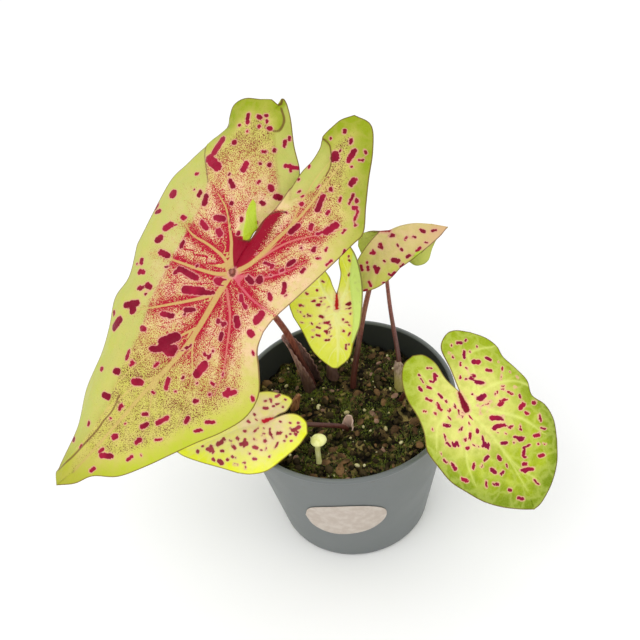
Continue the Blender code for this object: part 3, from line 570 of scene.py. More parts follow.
# The leaf blades: thin soft sheets, heart- or arrow-shaped, joined to the stem on the underside near
# the notch. They are waved and quilted between sunken veins.
BLADE = 0.5
LEAVES = {
    "leaf_1": {
        "place": (-46, -18, 198), "turn": (41, 22, -42), "calm": 20, "fine": (130, 110, 48),
        "midrib": [(0, 0, 0), (0, -9, -1), (2, -40, -3), (-2, -72, -5), (-6, -103, -9), (-10, -128, -13)],
        "left_rib": [(0, 0, 0), (-11, 20, -1), (-24, 43, -3), (-34, 61, -7)],
        "right_rib": [(0, 0, 0), (7, 20, 0), (10, 47, -3), (9, 62, -5), (5, 75, -8)],
        "left": [
            [(-14, -140, -16, 0), (-19, -134, -17, 1), (-24, -111, -18, 3), (-32, -93, -18, 6),
             (-36, -74, -17, 7), (-41, -61, -17, 7), (-47, -48, -16, 7), (-47, -35, -15, 6), (-53, -20, -14, 6)],
            [(-53, -20, -14, 6), (-57, 2, -15, 5), (-59, 16, -16, 5), (-57, 26, -16, 5), (-54, 39, -15, 4),
             (-50, 49, -13, 3), (-50, 55, -11, 2), (-52, 62, -10, 2), (-49, 68, -9, 2), (-42, 72, -8, 2)],
            [(-42, 72, -8, 2), (-38, 75, -8, 1), (-33, 75, -9, 0), (-34, 79, -11, 0), (-27, 74, -13, 0),
             (-17, 64, -14, 0), (-7, 56, -13, 0), (-1, 46, -11, 0), (-1, 36, -8, 0), (-3, 28, -6, 0),
             (-4, 21, -4, 0), (-3, 16, -2, 0)]],
        "right": [
            [(-14, -140, -16, 0), (-6, -132, -14, 0), (0, -122, -11, 0), (11, -113, -9, 0), (20, -99, -6, 1),
             (27, -86, -4, 1), (34, -73, -2, 1), (41, -61, -1, 1), (46, -48, 0, 1), (45, -36, 2, 0),
             (38, -26, 4, -1), (32, -20, 3, -1), (29, -12, 1, 0)],
            [(29, -12, 1, 0), (29, -4, 0, 1), (32, 12, -1, 2), (35, 32, -4, 2), (36, 44, -8, 3),
             (36, 51, -11, 3), (29, 61, -14, 4), (22, 72, -15, 4), (15, 84, -16, 3), (7, 93, -16, 2),
             (-2, 92, -14, 2)],
            [(-2, 92, -14, 2), (-5, 87, -12, 1), (-6, 83, -11, 1), (-7, 75, -10, 0), (-5, 70, -10, 0),
             (-4, 63, -9, 0), (-4, 56, -6, 0), (-2, 45, -1, 0), (-1, 36, 2, 0), (-2, 28, 3, 0), (-2, 22, 2, 0),
             (-3, 16, -2, 0)]],
    },
    "leaf_2": {
        "place": (1, 14, 140), "turn": (53, 7, -3), "calm": 5, "fine": (44, 40, 22),
        "midrib": [(0, 0, 0), (1, -16, -1), (1, -28, -3)],
        "left_rib": [(0, 0, 0), (-6, 8, 0), (-11, 18, -2)],
        "right_rib": [(0, 0, 0), (5, 10, 0), (7, 22, -2)],
        "left": [
            [(1, -32, -4, 0), (-3, -31, -3, 0), (-12, -23, -1, 1), (-18, -12, 0, 1), (-23, -4, 0, 1)],
            [(-23, -4, 0, 1), (-25, 3, 0, 1), (-23, 11, -1, 1), (-19, 19, -3, 1), (-13, 24, -5, 0)],
            [(-13, 24, -5, 0), (-8, 22, -4, 0), (-4, 17, -1, 0), (-2, 12, 0, 0), (0, 8, 0, 0)]],
        "right": [
            [(1, -32, -4, 0), (7, -26, -1, 0), (9, -17, 2, -1), (12, -8, 3, -1), (13, 3, 4, -1)],
            [(13, 3, 4, -1), (13, 11, 4, -1), (12, 19, 3, -1), (10, 27, 0, 0), (7, 33, -3, 0)],
            [(7, 33, -3, 0), (3, 31, -4, 0), (1, 25, -4, 0), (2, 18, -3, 0), (0, 8, 0, 0)]],
    },
    "leaf_3": {
        "place": (34, 46, 163), "turn": (4, -48, 85), "calm": 5, "fine": (44, 44, 22), "under": (-3.8, 0.3, -1.6),
        "midrib": [(0, 0, 0), (2, -6, 0), (3, -14, -1), (2, -23, -1)],
        "left_rib": [(0, 0, 0), (-11, 7, 3), (-21, 13, 5)],
        "right_rib": [(0, 0, 0), (0, 3, -6), (-1, 7, -11)],
        "left": [
            [(0, -32, -3, 0), (-5, -27, 0, 0), (-9, -22, 2, 1), (-14, -15, 5, 1), (-18, -9, 6, 2), (-21, -4, 7, 2)],
            [(-21, -4, 7, 2), (-25, 0, 8, 2), (-28, 4, 8, 2), (-31, 10, 8, 2), (-32, 16, 7, 1), (-30, 21, 5, 0)],
            [(-30, 21, 5, 0), (-23, 21, 4, 0), (-15, 18, 3, 0), (-7, 12, 2, 0), (0, 5, -1, 0)]],
        "right": [
            [(0, -32, -3, 0), (-3, -28, -8, 0), (-10, -24, -14, 0), (-17, -21, -14, 0), (-19, -15, -14, 0),
             (-15, -10, -16, 0)],
            [(-15, -10, -16, 0), (-13, -6, -18, 0), (-13, 0, -18, 0), (-16, 7, -18, 0), (-13, 13, -18, 0),
             (-6, 16, -18, 0)],
            [(-6, 16, -18, 0), (-1, 15, -16, 0), (1, 11, -13, 0), (1, 8, -8, 0), (0, 5, -1, 0)]],
    },
    "leaf_4": {
        "place": (-44, -25, 103), "turn": (22, 29, -79), "calm": 5, "fine": (44, 36, 22),
        "midrib": [(0, 0, 0), (-1, -14, -1), (-1, -31, -3), (-2, -49, -7)],
        "left_rib": [(0, 0, 0), (-5, 7, -1), (-8, 12, -3)],
        "right_rib": [(0, 0, 0), (4, 8, -1), (10, 16, -3)],
        "left": [
            [(-3, -55, -9, 0), (-7, -48, -6, 0), (-11, -36, -2, 1), (-14, -23, 0, 1), (-16, -9, 1, 1)],
            [(-16, -9, 1, 1), (-16, -2, 1, 1), (-15, 6, 0, 1), (-12, 12, -2, 1), (-9, 16, -4, 0)],
            [(-9, 16, -4, 0), (-6, 17, -4, 0), (-2, 13, -3, 0), (-1, 9, -1, 0), (0, 6, 0, 0)]],
        "right": [
            [(-3, -55, -9, 0), (1, -51, -8, 0), (8, -41, -4, 1), (15, -30, -1, 1), (21, -21, 0, 1)],
            [(21, -21, 0, 1), (24, -14, 0, 1), (25, -5, 0, 1), (22, 5, 0, 1), (18, 14, -2, 1), (13, 20, -4, 0)],
            [(13, 20, -4, 0), (7, 21, -4, 0), (2, 18, -3, 0), (0, 13, -1, 0), (0, 6, 0, 0)]],
    },
    "leaf_5": {
        "place": (59, -43, 114), "turn": (39, -8, 30), "calm": 5, "fine": (50, 46, 26),
        "midrib": [(0, 0, 0), (3, -19, -1), (4, -35, -3), (4, -52, -7)],
        "left_rib": [(0, 0, 0), (-4, 12, 0), (-6, 29, -2)],
        "right_rib": [(0, 0, 0), (9, 11, 0), (19, 28, -2)],
        "left": [
            [(2, -62, -9, 0), (-5, -57, -7, 0), (-13, -50, -5, 1), (-20, -42, -2, 1), (-25, -33, 0, 1),
             (-29, -24, 1, 1), (-30, -14, 1, 1)],
            [(-30, -14, 1, 1), (-30, -5, 1, 1), (-26, 3, 1, 1), (-24, 11, 1, 1), (-23, 21, 0, 1),
             (-19, 30, -2, 1), (-13, 36, -3, 0), (-6, 37, -4, 0)],
            [(-6, 37, -4, 0), (-1, 34, -4, 0), (1, 27, -2, 0), (0, 18, 0, 0), (2, 9, 0, 0)]],
        "right": [
            [(2, -62, -9, 0), (7, -61, -7, 0), (16, -56, -4, 1), (24, -49, -2, 1), (30, -40, 0, 1)],
            [(30, -40, 0, 1), (35, -31, 0, 1), (36, -22, 0, 1), (33, -14, 0, 1), (36, -7, -1, 1), (35, 2, -2, 1),
             (33, 10, -2, 1), (34, 16, -3, 0), (32, 23, -4, 0), (27, 30, -5, 0)],
            [(27, 30, -5, 0), (21, 35, -5, 0), (15, 36, -4, 0), (8, 32, -2, 0), (5, 21, 0, 0), (2, 9, 0, 0)]],
    },
    "leaf_6": {
        "place": (32, 64, 137), "turn": (60, 5, 177), "calm": 5, "fine": (34, 30, 18),
        "midrib": [(0, 0, 0), (0, -10, -1), (0, -24, -3)],
        "left_rib": [(0, 0, 0), (-3, 5, 0), (-4, 9, -1)],
        "right_rib": [(0, 0, 0), (3, 5, 0), (4, 9, -1)],
        "left": [
            [(0, -28, -4, 0), (-3, -24, -1, 0), (-7, -15, 2, -1), (-9, -6, 4, -1)],
            [(-9, -6, 4, -1), (-9, 1, 4, -1), (-8, 7, 3, -1), (-5, 12, 1, 0)],
            [(-5, 12, 1, 0), (-2, 11, 0, 0), (-1, 8, 0, 0), (0, 5, 0, 0)]],
        "right": [
            [(0, -28, -4, 0), (3, -24, -1, 0), (7, -15, 2, -1), (9, -6, 4, -1)],
            [(9, -6, 4, -1), (9, 1, 4, -1), (8, 7, 3, -1), (5, 12, 1, 0)],
            [(5, 12, 1, 0), (2, 11, 0, 0), (1, 8, 0, 0), (0, 5, 0, 0)]],
    },
}


def calmed(curve, reach):
    """The curve with its waves averaged out over reach points each way, and its ends kept."""
    head = 2 * curve[0] - curve[reach:0:-1]
    tail = 2 * curve[-1] - curve[-2:-reach - 2:-1]
    long = np.vstack([head, curve, tail])
    weights = np.hanning(2 * reach + 3)[1:-1]
    weights = weights / weights.sum()
    return np.stack([np.convolve(long[:, k], weights, mode="valid") for k in range(curve.shape[1])], axis=1)


def half_blade(leaf, side, rib):
    """Points of half a blade, from tip to notch and from rib to margin, with where each lies on both ways."""
    n_side, n_lobe, n_across = leaf["fine"]
    dense = [spline(run, 61) for run in leaf[side]]
    margin = np.vstack([dense[0], dense[1][1:], dense[2][1:]])
    along = np.arange(181) / 180
    ease = np.clip(6 * along, 0, 1) * np.clip(3 - 3 * along, 0, 1)
    calm = margin + (calmed(margin, leaf["calm"]) - margin) * ease[:, None]
    picks = np.concatenate([np.linspace(0, 60, n_side + 1), np.linspace(60, 120, n_lobe + 1)[1:],
                            np.linspace(120, 180, n_lobe + 1)[1:]])
    margin = np.stack([np.interp(picks, np.arange(181), margin[:, k]) for k in range(4)], axis=1)
    calm = np.stack([np.interp(picks, np.arange(181), calm[:, k]) for k in range(4)], axis=1)
    mid = spline(leaf["midrib"], n_side + 1)[::-1]
    out = spline(leaf[rib], n_lobe + 1, ease=0.6)
    root = np.vstack([mid, out[1:], out[::-1][1:]])
    shares = np.linspace(0, 1, n_across + 1) ** 0.9
    grid = []
    for s in shares:
        edge = calm + (margin - calm) * s ** 3
        row = root + s * (edge[:, :3] - root)
        row[:, 2] += edge[:, 3] * (1 - abs(2 * s - 1) ** 1.6)
        grid.append(row)
    return np.stack(grid, axis=1), picks / 60, shares


def nearest_on(points, line):
    """Signed distance, plain distance and share of the way along, from each point to a flat line."""
    best = np.full(len(points), 1e9)
    signed, share = best.copy(), np.zeros(len(points))
    for i in range(len(line) - 1):
        a, d = line[i], line[i + 1] - line[i]
        t = np.clip(((points - a) @ d) / max(float(d @ d), 1e-9), 0, 1)
        off = points - a - t[:, None] * d
        far = np.hypot(off[:, 0], off[:, 1])
        near = far < best
        side = np.sign(d[0] * off[:, 1] - d[1] * off[:, 0])
        signed[near], best[near] = (far * side)[near], far[near]
        share[near] = ((i + t) / (len(line) - 1))[near]
    return signed, best, share


def read_grid(grid, row, col):
    """The point of a half blade at a fractional row and column."""
    i, j = min(int(row), len(grid) - 2), min(int(col), grid.shape[1] - 2)
    u, v = row - i, col - j
    return ((1 - u) * (1 - v) * grid[i, j] + u * (1 - v) * grid[i + 1, j] + (1 - u) * v * grid[i, j + 1]
            + u * v * grid[i + 1, j + 1])


SIDE_VEINS = [(0.30, -0.16, 0.34), (0.52, -0.17, 0.38), (0.74, -0.18, 0.40), (0.93, -0.16, 0.36), (1.22, 0.10, 0.34),
              (1.50, 0.12, 0.32), (1.76, 0.10, 0.26), (2.30, -0.08, 0.24), (2.62, -0.10, 0.24)]


def side_veins(grid, runs):
    """Veins that leave the ribs and curve on towards the tip or the lobe's end."""
    lines = []
    last = grid.shape[1] - 1
    for run, drift, width in SIDE_VEINS:
        line = []
        for s in np.linspace(0.0, 0.94, 16):
            row = float(np.interp(run + drift * s ** 1.5, runs, np.arange(len(runs))))
            line.append(read_grid(grid, row, last * s ** (1 / 0.9))[:2])
        lines.append((width, np.array(line)))
    return lines


def leaf_turn(leaf):
    x, y, z = [math.radians(a) for a in leaf["turn"]]
    return Matrix.Rotation(z, 3, "Z") @ Matrix.Rotation(y, 3, "Y") @ Matrix.Rotation(x, 3, "X")


def placed(leaf, points):
    """Points of a flat leaf at its place on the plant."""
    return points @ np.array(leaf_turn(leaf)).T + np.array(leaf["place"], dtype=float)


def inside_by(points, outline):
    """How far inside a closed outline each point lies, and below zero outside it."""
    ring = np.vstack([outline, outline[:1]])
    far = nearest_on(points, ring)[1]
    x, y = points.T
    inside = np.zeros(len(points), dtype=bool)
    for (x1, y1), (x2, y2) in zip(ring[:-1], ring[1:]):
        crosses = (y1 > y) != (y2 > y)
        inside ^= crosses & (x < x1 + (y - y1) / (y2 - y1 + 1e-9) * (x2 - x1))
    return np.where(inside, far, -far)


class Half:
    """Half a blade: its grid, and where the camera sees each point of it."""

    def __init__(self, leaf, side, rib, sign):
        self.grid, self.runs, self.shares = half_blade(leaf, side, rib)
        self.sign, self.rib = sign, leaf[rib]
        self.rows, self.cols = self.grid.shape[:2]
        self.flat = self.grid.reshape(-1, 3)
        self.seen, self.depth = in_photo(placed(leaf, self.flat))

    def pin(self, pixel):
        """The place on this half that shows at a pixel, the change to a pixel each way, and how well it fits."""
        far = np.hypot(*(self.seen - pixel).T)
        near = np.argpartition(far, 24)[:24]
        near = near[self.depth[near] < self.depth[near].min() + 4.0]
        rows = np.column_stack([self.seen[near] - pixel, np.ones(len(near))])
        fit = np.linalg.lstsq(rows, self.flat[near, :2], rcond=None)[0]
        return fit[2], fit[:2], (max(far.min(), 3.0), self.depth[near].min())


def pinned(halves, marks):
    """Marks read from the photograph, laid on the half that shows there: (sign, x1, y1, x2, y2, radius)."""
    out = []
    for x1, y1, x2, y2, wide in marks:
        pixel = np.array(((x1 + x2) / 2, (y1 + y2) / 2))
        fits = [(*half.pin(pixel), half.sign) for half in halves]
        place, change, _, sign = min(fits, key=lambda fit: fit[2])
        step = np.array(((x2 - x1) / 2, (y2 - y1) / 2)) @ change
        radius = wide / 2 * math.sqrt(abs(np.linalg.det(change)))
        out.append((sign, *(place - step), *(place + step), radius))
    return out


def blade(name, marks=(), veins=(), patches=(), creases=(), streak=(), blush_reach=10.0, puff=0.5,
          filler=(0, 0.5, 1.0), rib_width=0.6, seed=1):
    """A leaf blade: its sheet, and for each point the distances that the finish reads."""
    leaf = LEAVES[name]
    random = np.random.default_rng(seed)
    halves = [Half(leaf, "left", "left_rib", -1), Half(leaf, "right", "right_rib", 1)]
    spots = pinned(halves, marks)
    if not streak:
        streak = (*in_photo(placed(leaf, np.array([(0, 0, 0), (0, 6, 0)])))[0].ravel(), 0.9)
    joint = in_photo(placed(leaf, np.zeros((1, 3))))[0][0]
    streak_line, streak_width = np.reshape(streak[:4], (2, 2)).astype(float), streak[4]
    parts, faces, start = [], [], 0
    for half in halves:
        flat, count = half.flat, len(half.flat)
        rim = half.grid[:, -1]
        edge = nearest_on(flat[:, :2], rim[:, :2])[1]
        lines = [(rib_width, 0.0, spline(leaf["midrib"], 40)[:, :2])]
        for sign, wide, pink, pixels in veins:
            if sign == half.sign:
                line = [(0.0, 0.0, 0.0) if math.dist(pixel, joint) < 6.0 else
                        (*half.pin(np.array(pixel, dtype=float))[0], 0.0) for pixel in pixels]
                lines.append((wide, pink, spline(line, 24)[:, :2]))
        if not veins:
            lines.append((0.8 * rib_width, 0.0, spline(half.rib, 30)[:, :2]))
            lines += [(wide, 0.0, line) for wide, line in side_veins(half.grid, half.runs)]
        signed, near, width = np.full(count, 9.0), np.full(count, 9.0), np.full(count, 0.3)
        pinkness, best = np.zeros(count), np.full(count, 9.0)
        for wide, pink, line in lines:
            s, d, t = nearest_on(flat[:, :2], line)
            reach = wide * (1.0 - 0.7 * t)
            closer = d - reach < best
            best[closer] = (d - reach)[closer]
            signed[closer], near[closer], width[closer], pinkness[closer] = s[closer], d[closer], reach[closer], pink
        crease = np.full(count, 9.0)
        for sign, pixels in creases:
            if sign == half.sign:
                line = spline([(*pixel, 0.0) for pixel in pixels], 60)[:, :2]
                crease = np.minimum(crease, nearest_on(half.seen, line)[1] / PIXELS_TO_MM)
        own = [spot[1:] for spot in spots if spot[0] == half.sign]
        inner = np.flatnonzero((edge > 2.0) & (np.hypot(flat[:, 0], flat[:, 1]) > 0.35 * blush_reach))
        for _ in range(filler[0]):
            x, y = flat[random.choice(inner)][:2]
            r = filler[1] + (filler[2] - filler[1]) * random.uniform() ** 2
            a = math.atan2(y, x) + 0.3 * random.normal()
            u, v = r * random.uniform(0.2, 2.2) * np.array((math.cos(a), math.sin(a)))
            own.append((x - u, y - v, x + u, y + v, r))
        field = np.full(count, 9.0)
        for x1, y1, x2, y2, r in own:
            field = np.minimum(field, nearest_on(flat[:, :2], np.array([(x1, y1), (x2, y2 + 1e-4)]))[1] - r)
        blush = np.exp(-(np.hypot(flat[:, 0], flat[:, 1]) / blush_reach) ** 1.6)
        _, d, t = nearest_on(half.seen, streak_line)
        stroke = d / PIXELS_TO_MM - streak_width * (1 - 0.65 * t)
        patch = np.full((count, 3), -9.0)
        lifted = flat.copy()
        lifted[:, 2] += puff * (1 - np.exp(-(near / 3.2) ** 2)) * np.clip(edge / 5.0, 0, 1)
        lifted[:, 2] -= 0.22 * np.exp(-(near / 0.8) ** 2)
        for sign, kind, lift, outline in patches:
            if sign == half.sign:
                inside = inside_by(half.seen, np.array(outline, dtype=float)) / PIXELS_TO_MM
                patch[:, kind] = np.maximum(patch[:, kind], inside)
                lifted[:, 2] += lift * np.clip(inside / 1.2 + 0.5, 0, 1) * np.exp(-np.clip(inside, 0, 99) / 9.0)
        parts.append([lifted, flat, np.stack([signed, near, width], axis=1), np.stack([field, edge, blush], axis=1),
                      np.stack([stroke, pinkness, crease], axis=1),
                      patch])
        for i in range(half.rows - 1):
            for j in range(half.cols - 1):
                a = start + i * half.cols + j
                face = (a, a + 1, a + half.cols + 1, a + half.cols)
                faces.append(face if half.sign > 0 else face[::-1])
        start += count
    lifted, rest, vein, mark, more, patch = [np.vstack(column) for column in zip(*parts)]
    low, high = np.array(cad_box[0]) / MM + 0.05, np.array(cad_box[1]) / MM - 0.05
    obj = mesh_piece(name + "_blade", np.clip(placed(leaf, lifted), low, high), faces)
    mesh = obj.data
    for key, values in (("rest", rest), ("vein", vein), ("mark", mark), ("more", more), ("patch", patch)):
        kept = mesh.attributes.new(key, "FLOAT_VECTOR", "POINT")
        kept.data.foreach_set("vector", values.astype(np.float32).ravel())
    bm = bmesh.new()
    bm.from_mesh(mesh)
    bmesh.ops.remove_doubles(bm, verts=bm.verts, dist=2e-6)
    bm.to_mesh(mesh)
    bm.free()
    shell = obj.modifiers.new("Thickness", "SOLIDIFY")
    shell.thickness = BLADE * MM
    shell.offset = -1.0
    shell.material_offset = 1
    return obj


MAROON, HALO = (0.15, 0.002, 0.020), (0.68, 0.28, 0.26)
PIXELS_TO_MM = 2.05
GREEN, PALE, DEEP = 0, 1, 2


def leaf_finish(name, heart, middle, rim, vein, vein_share=0.8, vein_blur=0.22, network=0.3, specks=False,
                deep=None,
                streak=(0.30, 0.002, 0.012), green=(0.42, 0.58, 0.02), pale=(0.47, 0.50, 0.12), spot=MAROON,
                bright_spot=(0.33, 0.005, 0.034),
                halo=HALO, under=None):
    """The skin of one leaf: body colour by zone, net of veins, specks, blush, spots with halos and margin."""
    skin = Finish(name, 0.5, Specular_IOR_Level=0.12)
    rest = skin.kept("rest")
    signed, near, width = skin.split(skin.kept("vein"))
    field, edge, blush = skin.split(skin.kept("mark"))
    stroke, pink, crease = skin.split(skin.kept("more"))
    in_green, in_lit_pale_patch, in_deep = skin.split(skin.kept("patch"))
    cloud = skin.grain(rest, 0.06, 3.0)
    if deep:
        rim = skin.mix(skin.fade(skin.split(rest)[1], deep[1], deep[2]), rim, deep[0])
    tint = skin.mix(skin.fade(skin.math("MULTIPLY_ADD", cloud, 14.0, edge), 7.0, 20.0), rim, middle)
    tint = skin.mix(skin.fade(blush, 0.02, 0.40), tint, heart)
    patch = skin.grain(rest, 0.22, 3.0)
    tint = skin.mix(skin.fade(patch, 0.35, 0.65, 0.0, 0.35), tint, rim)
    # Painted light: the pale patches at the folds are painted lighter for the way light falls on the bent blade. Their
    # thinner specks, below, are the leaf's own.
    tint = skin.mix(skin.math("MULTIPLY", skin.fade(in_lit_pale_patch, -0.5, 1.5), skin.fade(cloud, 0.3, 0.7, 0.5, 0.95)), tint, pale)
    bent = skin.node("VectorMath", {0: rest, 1: skin.stretch(
        skin.node("TexNoise", {"Vector": rest, "Scale": 0.25, "Detail": 2.0}).outputs[1], (5.0, 5.0, 5.0))},
        operation="ADD").outputs[0]
    net = skin.cells(bent, 0.13, "DISTANCE_TO_EDGE")
    fine_net = skin.cells(bent, 0.62, "DISTANCE_TO_EDGE")
    tint = skin.mix(skin.fade(net, 0.0, 0.22, network, 0.0), tint, vein)
    tint = skin.mix(skin.fade(fine_net, 0.0, 0.16, network * 0.35, 0.0), tint, vein)
    line_width = skin.math("SUBTRACT", skin.math("ABSOLUTE", signed), width)
    if specks:
        from_joint = skin.node("VectorMath", {0: skin.stretch(rest, (1.0, 1.0, 0.0))}, operation="LENGTH")
        from_joint = from_joint.outputs["Value"]
        dots = skin.grain(rest, 2.2, 3.0, 0.7)
        line = skin.fade(from_joint, 10.0, 150.0, 0.500, 0.590)
        line = skin.math("MULTIPLY_ADD", skin.grain(rest, 0.13, 3.0, 0.6), -0.26, skin.math("ADD", line, 0.13))
        beside = skin.math("MULTIPLY", skin.fade(line_width, 4.5, 0.2), skin.fade(from_joint, 66.0, 24.0))
        line = skin.math("MULTIPLY_ADD", beside, -0.13, line)
        line = skin.math("ADD", line, skin.fade(edge, 12.0, 4.0, 0.0, 0.16))
        line = skin.math("ADD", line, skin.fade(in_lit_pale_patch, -1.0, 2.0, 0.0, 0.13))
        solid = skin.fade(skin.split(rest)[0], 1.0, 6.0, -0.4, -0.015)
        line = skin.math("MULTIPLY_ADD", skin.fade(in_deep, -3.0, 0.5), solid, line)
        over = skin.math("SUBTRACT", dots, line)
        speck_tint = skin.mix(skin.fade(from_joint, 75.0, 38.0), (0.13, 0.012, 0.016), (0.40, 0.002, 0.026))
        speck_tint = skin.mix(skin.fade(in_deep, -2.0, 1.0), speck_tint, (0.27, 0.0, 0.016))
        tint = skin.mix(skin.fade(over, -0.02, 0.035), tint, speck_tint)
    rib = skin.math("MULTIPLY", skin.fade(line_width, vein_blur, -vein_blur), skin.fade(near, 3.2, 2.4))
    rib_tint = skin.mix(pink, vein, (0.62, 0.12, 0.15))
    tint = skin.mix(skin.math("MULTIPLY", rib, vein_share), tint, rib_tint)
    if specks:
        toward_tip = skin.fade(skin.split(rest)[1], -95.0, -150.0, 0.0, 0.6)
        tint = skin.mix(toward_tip, tint, (0.27, 0.25, 0.012))
    ragged = skin.math("MULTIPLY_ADD", skin.grain(rest, 0.6, 3.0, 0.6), 1.7, -0.85)
    ragged = skin.math("ADD", field, ragged)
    ragged = skin.math("ADD", ragged, skin.fade(in_deep, -0.5, 1.0, 0.0, 9.0))
    tint = skin.mix(skin.fade(ragged, 1.0, 0.2, 0.0, 0.75), tint, halo)
    tint = skin.mix(skin.fade(ragged, 0.32, 0.05), tint, skin.mix(skin.fade(cloud, 0.40, 0.60), spot, bright_spot))
    tint = skin.mix(skin.fade(in_green, -0.3, 0.4, 0.0, 0.9), tint, green)
    ragged = skin.math("MULTIPLY_ADD", skin.grain(rest, 0.8, 2.0), 1.2, skin.math("SUBTRACT", stroke, 0.6))
    tint = skin.mix(skin.fade(ragged, 1.6, 0.4, 0.0, 0.6), tint, halo)
    tint = skin.mix(skin.fade(ragged, 0.4, -0.3), tint, streak)
    # Dark line along the margin and the creases: along the margin it is the leaf's own colour; along the creases it is
    # partly that margin and partly painted shadow of the fold.
    tint = skin.mix(skin.fade(skin.math("MINIMUM", edge, crease), 0.7, 0.2, 0.0, 0.75), tint, (0.13, 0.035, 0.015))
    if under:
        tint = skin.mix(0.75, tint, under)
    skin.colour(tint)
    bumpy = skin.math("MULTIPLY_ADD", skin.fade(fine_net, 0.0, 0.25), 0.35, skin.grain(rest, 0.5, 4.0))
    skin.relief(bumpy, 0.35, 0.55)
    skin.roughness(skin.fade(patch, 0.3, 0.7, 0.45 if under else 0.36, 0.62 if under else 0.52))
    return skin


